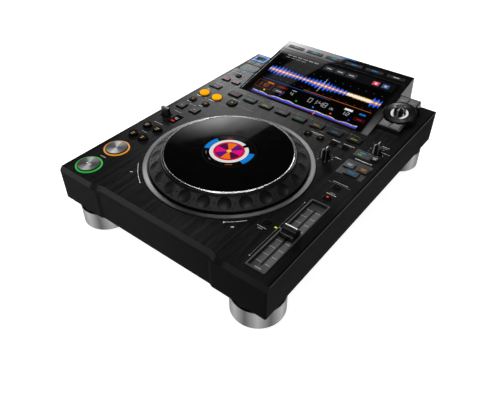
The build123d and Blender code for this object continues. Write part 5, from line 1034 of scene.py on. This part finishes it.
for row, tone in ((84.0, (96, 96, 98)), (48.0, (150, 48, 40))):
    view.add(bars(np.stack([beats, np.full(beats.size, row)], -1), (0.8, 1.6)), tone, 2)

# two thin lines under the wave, then boxes and figures: tempo at the left, time at the right
box_on(view, -20.0, 43.6, 96.0, 44.4, (206, 104, 40), 2)
box_on(view, -96.0, 40.6, 30.0, 41.2, (40, 96, 190), 2)
FRAMES = ((-82.0, 27.0, 30, 18, (128, 52, 16), (7, 3, 2)),
          (-52.0, 32.4, 19, 6, (96, 10, 20), (62, 6, 12)),
          (-52.0, 22.4, 19, 6, (120, 120, 122), (6, 6, 7)),
          (88.0, 23.0, 16, 6, (110, 18, 18), (10, 2, 2)))
for x, at, wide, high, edge, fill in FRAMES:
    view.add(bars([(x, at)], [(wide, high)]), edge, 1)
    view.add(bars([(x, at)], [(wide - 1.2, high - 1.2)]), fill, 2)
view.add(bars([(-52.0, 32.4), (88.0, 23.0)], [(12, 1.6), (9, 1.6)]), (146, 40, 46), 3)
view.add(bars([(-52.0, 22.4), (-30.0, 34.4)], [(11, 1.6), (8, 1.2)]), (190, 190, 190), 3)
READOUTS = (("118", -93.0, 22.6, 7.6, (232, 112, 30)), ("4", -33.0, 23.0, 7.0, (216,) * 3),
            ("01:48", 0.0, 23.0, 9.2, (186,) * 3), ("26", 38.0, 23.2, 3.8, (220,) * 3),
            ("1.2", 58.0, 23.0, 6.6, (222,) * 3))
for readout in READOUTS:
    figures(view, *readout)
box_on(view, -80.0, 32.6, -69.0, 35.0, (232, 112, 30), 3)
box_on(view, 58.0, 33.0, 71.0, 37.0, (236, 236, 236), 2)
box_on(view, 82.0, 33.2, 92.0, 36.4, (30, 110, 200), 2)
CUES = ((224, 214, 40), (90, 40, 190), (40, 190, 70), (30, 160, 220), (236, 96, 30), (40, 50, 230))
for k, tone in enumerate(CUES):
    view.add(disc((-75.0 + 30.0 * k, 15.6), 1.5, 12), tone, 3)

# overview wave along the bottom: two slow swells, with a rough top of amber and white
x = np.linspace(-92.0, 92.0, 260)
level = (2.4 + 2.6 * np.abs(np.sin(x * 0.05)) + 1.4 * np.cos(x * 0.13) ** 2) * rng.uniform(0.86, 1.0, x.size)
tops = np.where((rng.random(x.size) > 0.45)[:, None], (250, 238, 214), (222, 150, 56))
columns(view, x, 5.0 + level / 2, level, (30, 86, 224), 2)
columns(view, x, 5.0 + level * 0.86, level * 0.28, tops, 3)
box_on(view, -92.0, 3.6, 92.0, 4.3, (112, 34, 16), 2)
box_on(view, 22.0, 1.8, 24.0, 10.0, (232, 120, 30), 4)
view.make("screen_picture", picture_glass, "case", "touch_glass")


# Menu keys
# Six low keys in the strip above the glass. Four are lit cyan or blue and two are printed grey.
# A lit blue bar sits behind them.
menu_key = moulded("menu_key_black", linear(9, 9, 10), linear(13, 13, 14), 0.4, grain=1400,
                   height=0.000006, specular=0.2)
menu_key.on("menu_keys")
FIRST_KEY_X, KEY_PITCH = -105.6 + 29.53 / 2, 36.33
MENU_LIGHTS = ((150, 150, 152), (40, 180, 214), (30, 160, 220), (24, 130, 190), (24, 140, 220),
               (190, 190, 190))
strip = Print(0.83, on_slope)
for k, tone in enumerate(MENU_LIGHTS):
    strip.add(bars([(FIRST_KEY_X + KEY_PITCH * k, 131.8)], [(9.5, 1.6)]), tone)
strip.make("menu_marks", lamp, "menu_keys", "key_black")
strip = Print(0.03, on_slope)
strip.add(bars([(0.0, 142.2)], [(32.0, 1.3)]), (24, 110, 230))
strip.make("housing_light", lamp, "case", "light_clear")
# a painted highlight along the housing's left edge, and a painted shadow line in the step where the glass
# ends
edge = Print(0.04, on_slope)
edge.add(shape((-111.2, 1.9), (-110.6, 1.9), (-108.4, 119.5), (-109.0, 119.5)), (168,) * 3)
edge.add(bars([(0.0, 121.4)], [(222.0, 0.8)]), (3, 3, 3))
edge.make("housing_edge_light_and_shade", paint, "case", "housing_black")


# Selector and browse keys
# A dished satin ring round a faceted chrome knob, with four satin grey pads on a black island.
SELECTOR_S, SLOPE_COS = 63.5, np.cos(TILT)
hub = on_slope(np.array([SELECTOR_X]), np.array([SELECTOR_S]), np.array([0.0]))[0]
dish = spun("selector_ring_metal", linear(120, 120, 122), linear(136, 136, 138), 0.26, *hub[:2],
            aniso=0.4, metallic=0.7, squeeze=SLOPE_COS, specular=0.1)
angle, radius = polar(dish, *hub[:2], SLOPE_COS)[:2]
# painted reflections: two bright fans across the dish
paint_light_round(dish, angle, (0, 0.03), (60, 0.04), (100, 0.3), (128, 0.9), (150, 0.3), (190, 0.06),
             (240, 0.08), (290, 0.5), (308, 0.9), (330, 0.2), (360, 0.03))
# painted shade at the dish's inner and outer edges
reach = dish.spread(radius, 0.0, 1.0, at=(0.0, 0.024))
dish.shade(dish.levels(reach, (0.5, 0.3), (0.6, 1.0), (0.86, 0.8), (0.9, PAINTED_SHADE_LEVEL))).on("selector_ring")
knob = spun("selector_chrome", linear(200, 200, 204), linear(226, 226, 230), 0.12, *hub[:2],
            aniso=0.3, metallic=0.8, squeeze=SLOPE_COS, specular=0.1)
FLUTES = 6.0
# painted light: each of the knob's six facets bright in its middle and dark at its sides
painted_facet_light = knob.math("FRACT", knob.math("MULTIPLY", polar(knob, *hub[:2], SLOPE_COS)[0], FLUTES))
knob.shade(knob.levels(painted_facet_light, (0.0, PAINTED_SHADE_LEVEL), (0.3, 0.1), (0.5, 1.0), (0.6, 1.0), (0.7, PAINTED_SHADE_LEVEL)))
knob.on("selector_knob")
pads = moulded("pad_grey", linear(76, 76, 77), linear(90, 90, 91), 0.34, grain=1500, height=0.000008)
pads.on("browse_keys")
glyph = Print(-0.37, on_slope)
for x, s in ((122.4, 38.4), (137.4, 38.4), (122.4, 90.4), (137.4, 90.4)):
    glyph.add(bars([(x, s + 1.2), (x, s - 1.4)], [(7.6, 1.0), (5.4, 0.9)]), (130, 130, 132))
glyph.make("browse_marks", paint, "browse_keys", "key_grey")


# Studio: floor, world, lamps and camera
# A white table and a white horizon under a dark room, as what shines sees them. Five soft boxes
# behind the player only show in what shines; a high lamp and a fill at the front left light it.
floor_mesh = bpy.data.meshes.new("floor")
points, faces = disc((0, 0), 9000.0, 64)
on_table = np.column_stack([points / 1000, np.full(len(points), -0.0004)])
floor_mesh.from_pydata(on_table.tolist(), [], [tuple(faces[0].tolist())])
table = Finish("white_table", 0.9, specular=0.0)
table.tint(table.noise((3, 3, 3)), grey(0.46), grey(0.5))
path = table.add("ShaderNodeLightPath")
seen = table.math("MINIMUM", 1.0, table.math("ADD", path.outputs["Is Camera Ray"], table.math(
    "ADD", path.outputs["Is Glossy Ray"], path.outputs["Is Transmission Ray"])))
table.surface.inputs["Emission Color"].default_value = grey(1)
# a dark card lies to the right of the screen, as what shines sees it
from_card = table.add("ShaderNodeVectorMath", operation="DISTANCE")
from_card.inputs[1].default_value = (0.24, 0.40, 0.0)
table.join(table.place, from_card.inputs[0])
card = table.spread(from_card.outputs["Value"], 0.18, 0.82, at=(0.10, 0.26))
bare = table.math("MULTIPLY", path.outputs["Is Camera Ray"], 0.9)
table.join(table.math("MAXIMUM", bare, table.math("MULTIPLY", seen, card)),
           table.surface.inputs["Emission Strength"])
floor_mesh.materials.append(table.material)
floor = bpy.data.objects.new("floor", floor_mesh)
bpy.context.scene.collection.objects.link(floor)

world = bpy.data.worlds.new("studio")
bpy.context.scene.world = world
world.use_nodes = True
tree = world.node_tree
tree.nodes.clear()
out, sky, way, split, height, light_path, shiny, room, backdrop = [
    tree.nodes.new("ShaderNode" + kind) for kind in (
        "OutputWorld", "Background", "TexCoord", "SeparateXYZ", "ValToRGB", "LightPath", "Math",
        "Mix", "Mix")]
shiny.operation = "MAXIMUM"
room.data_type = backdrop.data_type = "RGBA"
room.inputs["A"].default_value = grey(0.42)
backdrop.inputs["B"].default_value = grey(1)
set_stops(height.color_ramp, ((0.10, grey(1.0)), (0.24, grey(0.012))))
for source, target in ((way.outputs["Generated"], split.inputs["Vector"]),
                       (split.outputs["Z"], height.inputs["Fac"]),
                       (light_path.outputs["Is Glossy Ray"], shiny.inputs[0]),
                       (light_path.outputs["Is Transmission Ray"], shiny.inputs[1]),
                       (shiny.outputs[0], room.inputs["Factor"]),
                       (height.outputs["Color"], room.inputs["B"]),
                       (light_path.outputs["Is Camera Ray"], backdrop.inputs["Factor"]),
                       (room.outputs["Result"], backdrop.inputs["A"]),
                       (backdrop.outputs["Result"], sky.inputs["Color"]),
                       (sky.outputs["Background"], out.inputs["Surface"])):
    tree.links.new(source, target)


def lamp_panel(name, centre, toward, size, watts, shiny=True, spread=True, roll=0.0, lean=0.0,
               fade=None):
    """A rectangular soft lamp at centre that faces the point `toward`, in metres, rolled by degrees.

    fade gives, across it and up it, the (share of the way, brightness) steps of its diffuser. The
    steps across it lean sideways by `lean` of its width from bottom to top.
    """
    light = bpy.data.lights.new(name, "AREA")
    light.shape = "RECTANGLE"
    light.size, light.size_y = size
    light.energy = watts
    made = bpy.data.objects.new(name, light)
    bpy.context.scene.collection.objects.link(made)
    made.location = centre
    facing = (Vector(toward) - Vector(centre)).to_track_quat("-Z", "Y")
    made.rotation_euler = (facing @ Quaternion((0, 0, 1), np.radians(roll))).to_euler()
    made.visible_camera = False
    made.visible_glossy = shiny
    made.visible_diffuse = spread
    if fade:
        light.use_nodes = True
        inner, links = light.node_tree.nodes, light.node_tree.links
        split = inner.new("ShaderNodeSeparateXYZ")
        links.new(inner.new("ShaderNodeNewGeometry").outputs["Parametric"], split.inputs["Vector"])
        product = inner.new("ShaderNodeMath")
        product.operation = "MULTIPLY"
        for k, (way_on, steps) in enumerate(zip("XY", fade)):
            ramp = inner.new("ShaderNodeValToRGB")
            set_stops(ramp.color_ramp, [(at, grey(level)) for at, level in steps])
            shift = inner.new("ShaderNodeMath")
            shift.operation = "MULTIPLY_ADD"
            links.new(split.outputs["Y"], shift.inputs[0])
            shift.inputs[1].default_value = lean if way_on == "X" else 0.0
            links.new(split.outputs[way_on], shift.inputs[2])
            links.new(shift.outputs["Value"], ramp.inputs["Fac"])
            links.new(ramp.outputs["Color"], product.inputs[k])
        links.new(product.outputs["Value"], inner["Emission"].inputs["Strength"])


def steps_of(low, high, *pairs):
    """(place, brightness) pairs as shares of the way from low to high."""
    return sorted(((place - low) / (high - low), level) for place, level in pairs)


# two far soft boxes stand at the rear left: the first shows in the jog plate and the wheel, and
# the second, wider and lower, in the rear of the panel
FAR, AZ, PLATE_Z = 6.0, 41.0, 0.1
away = np.array([-np.sin(np.radians(AZ)), np.cos(np.radians(AZ))]) * FAR


def far_box(name, low, high, span, radiance, across, upward, roll=0.0):
    """A soft box FAR away, AZ degrees left of straight back, from low to high degrees up.

    It reaches span degrees to each side. across gives (degrees left of straight back, brightness)
    steps and upward (degrees up, brightness) steps, both as seen from the jog plate.
    """
    bottom, top = PLATE_Z + FAR * np.tan(np.radians((low, high)))
    width, middle = 2 * FAR * np.tan(np.radians(span)), (bottom + top) / 2
    sides = [(np.tan(np.radians(az - AZ)) * FAR, level) for az, level in across]
    rises = [(PLATE_Z + FAR * np.tan(np.radians(el)), level) for el, level in upward]
    lamp_panel(name, (away[0], away[1], middle), (0, 0, middle), (width, top - bottom),
               radiance * np.pi * width * (top - bottom), spread=False, roll=roll,
               fade=(steps_of(-width / 2, width / 2, *sides), steps_of(bottom, top, *rises)))


far_box("far_soft_box", 14.0, 33.5, 11.0, 16.0, roll=10.0,
        across=((51.8, 0.04), (49.2, 0.2), (47.4, 0.4), (45.4, 0.78), (43.4, 1.0), (40.4, 0.66),
                (37.9, 0.34), (35.4, 0.16), (32.4, 0.05)),
        upward=((14.84, 0.3), (25.6, 0.3), (26.6, 0.28), (27.6, 0.26), (28.6, 0.24), (29.84, 0.24),
                (31.24, 0.19), (31.89, 0.1), (32.54, 0.042), (32.83, 0.03), (32.84, 0.0)))
far_box("low_soft_box", 13.0, 28.0, 17.0, 42.0,
        across=((57.0, 0.05), (50.0, 0.2), (45.0, 0.6), (40.0, 1.0), (36.5, 0.8), (33.5, 0.15),
                (29.0, 0.02), (25.0, 0.0)),
        upward=((13.0, 0.7), (24.6, 1.0), (25.6, 0.75), (26.4, 0.3), (27.2, 0.0)))


def near_box(name, back, left, right, under, over, radiance, lean, fade):
    """A soft box that stands upright behind the player, at y = back, from left to right."""
    middle, height = (left + right) / 2, (under + over) / 2
    lamp_panel(name, (middle, back, height), (middle, 0, height), (right - left, over - under),
               radiance * np.pi * (right - left) * (over - under), spread=False, lean=lean, fade=fade)


# a low strip close behind the housing's left end, cut off aslant at its right
START, END, LOW, HIGH = -0.185, -0.015, 0.168, 0.216
near_box("rear_soft_box", 0.265, START, END, LOW, HIGH, 8.0, -0.43, (
    steps_of(END, START, (-0.185, 0.8), (-0.140, 1.0), (-0.126, 1.0), (-0.110, 0.8),
             (-0.094, 0.62), (-0.072, 0.45), (-0.049, 0.36), (-0.026, 0.34), (-0.021, 0.0)),
    steps_of(LOW, HIGH, (0.170, 0.9), (0.18, 1.0), (0.187, 0.7), (0.195, 0.45), (0.206, 0.28),
             (0.215, 0.0))))
# a faint leaning sheet above it shines over the upper left of the glass
near_box("high_soft_box", 0.27, -0.33, -0.06, 0.216, 0.40, 0.4, -0.693, (
    ((0.0, 0.0), (0.095, 0.0), (0.103, 1.0), (0.3, 0.9), (0.335, 0.0)), ((0.0, 1.0), (1.0, 0.5))))
# and a small one to its right shines on the glass's right margin and the island's front
near_box("right_soft_box", 0.27, -0.03, 0.09, 0.29, 0.41, 1.5, -0.45, (
    ((0.0, 1.0), (0.53, 1.0), (0.55, 0.0)),
    ((0.0, 0.08), (0.16, 0.16), (0.45, 0.42), (0.8, 1.0), (1.0, 1.0))))
lamp_panel("top_lamp", (-0.12, 0.15, 1.6), (0, 0, 0.08), (0.5, 0.5), 16.0, shiny=False)
lamp_panel("top_gloss", (-0.12, 0.15, 1.6), (0, 0, 0.08), (0.9, 0.9), 14.0, spread=False)
lamp_panel("front_fill", (-0.8, -0.85, 0.6), (0, -0.1, 0.05), (0.5, 0.4), 4.0, shiny=False)

camera_data = bpy.data.cameras.new("camera")
camera_data.lens = 36.934
camera_data.sensor_width = 36.0
camera_data.sensor_fit = "HORIZONTAL"
camera = bpy.data.objects.new("camera", camera_data)
bpy.context.scene.collection.objects.link(camera)
camera.location = (0.34594, -0.49138, 0.47605)
camera.rotation_euler = Euler(np.radians((49.595, 0.0, 37.727)), "XYZ")
bpy.context.scene.camera = camera
bpy.context.scene.view_settings.view_transform = "Standard"
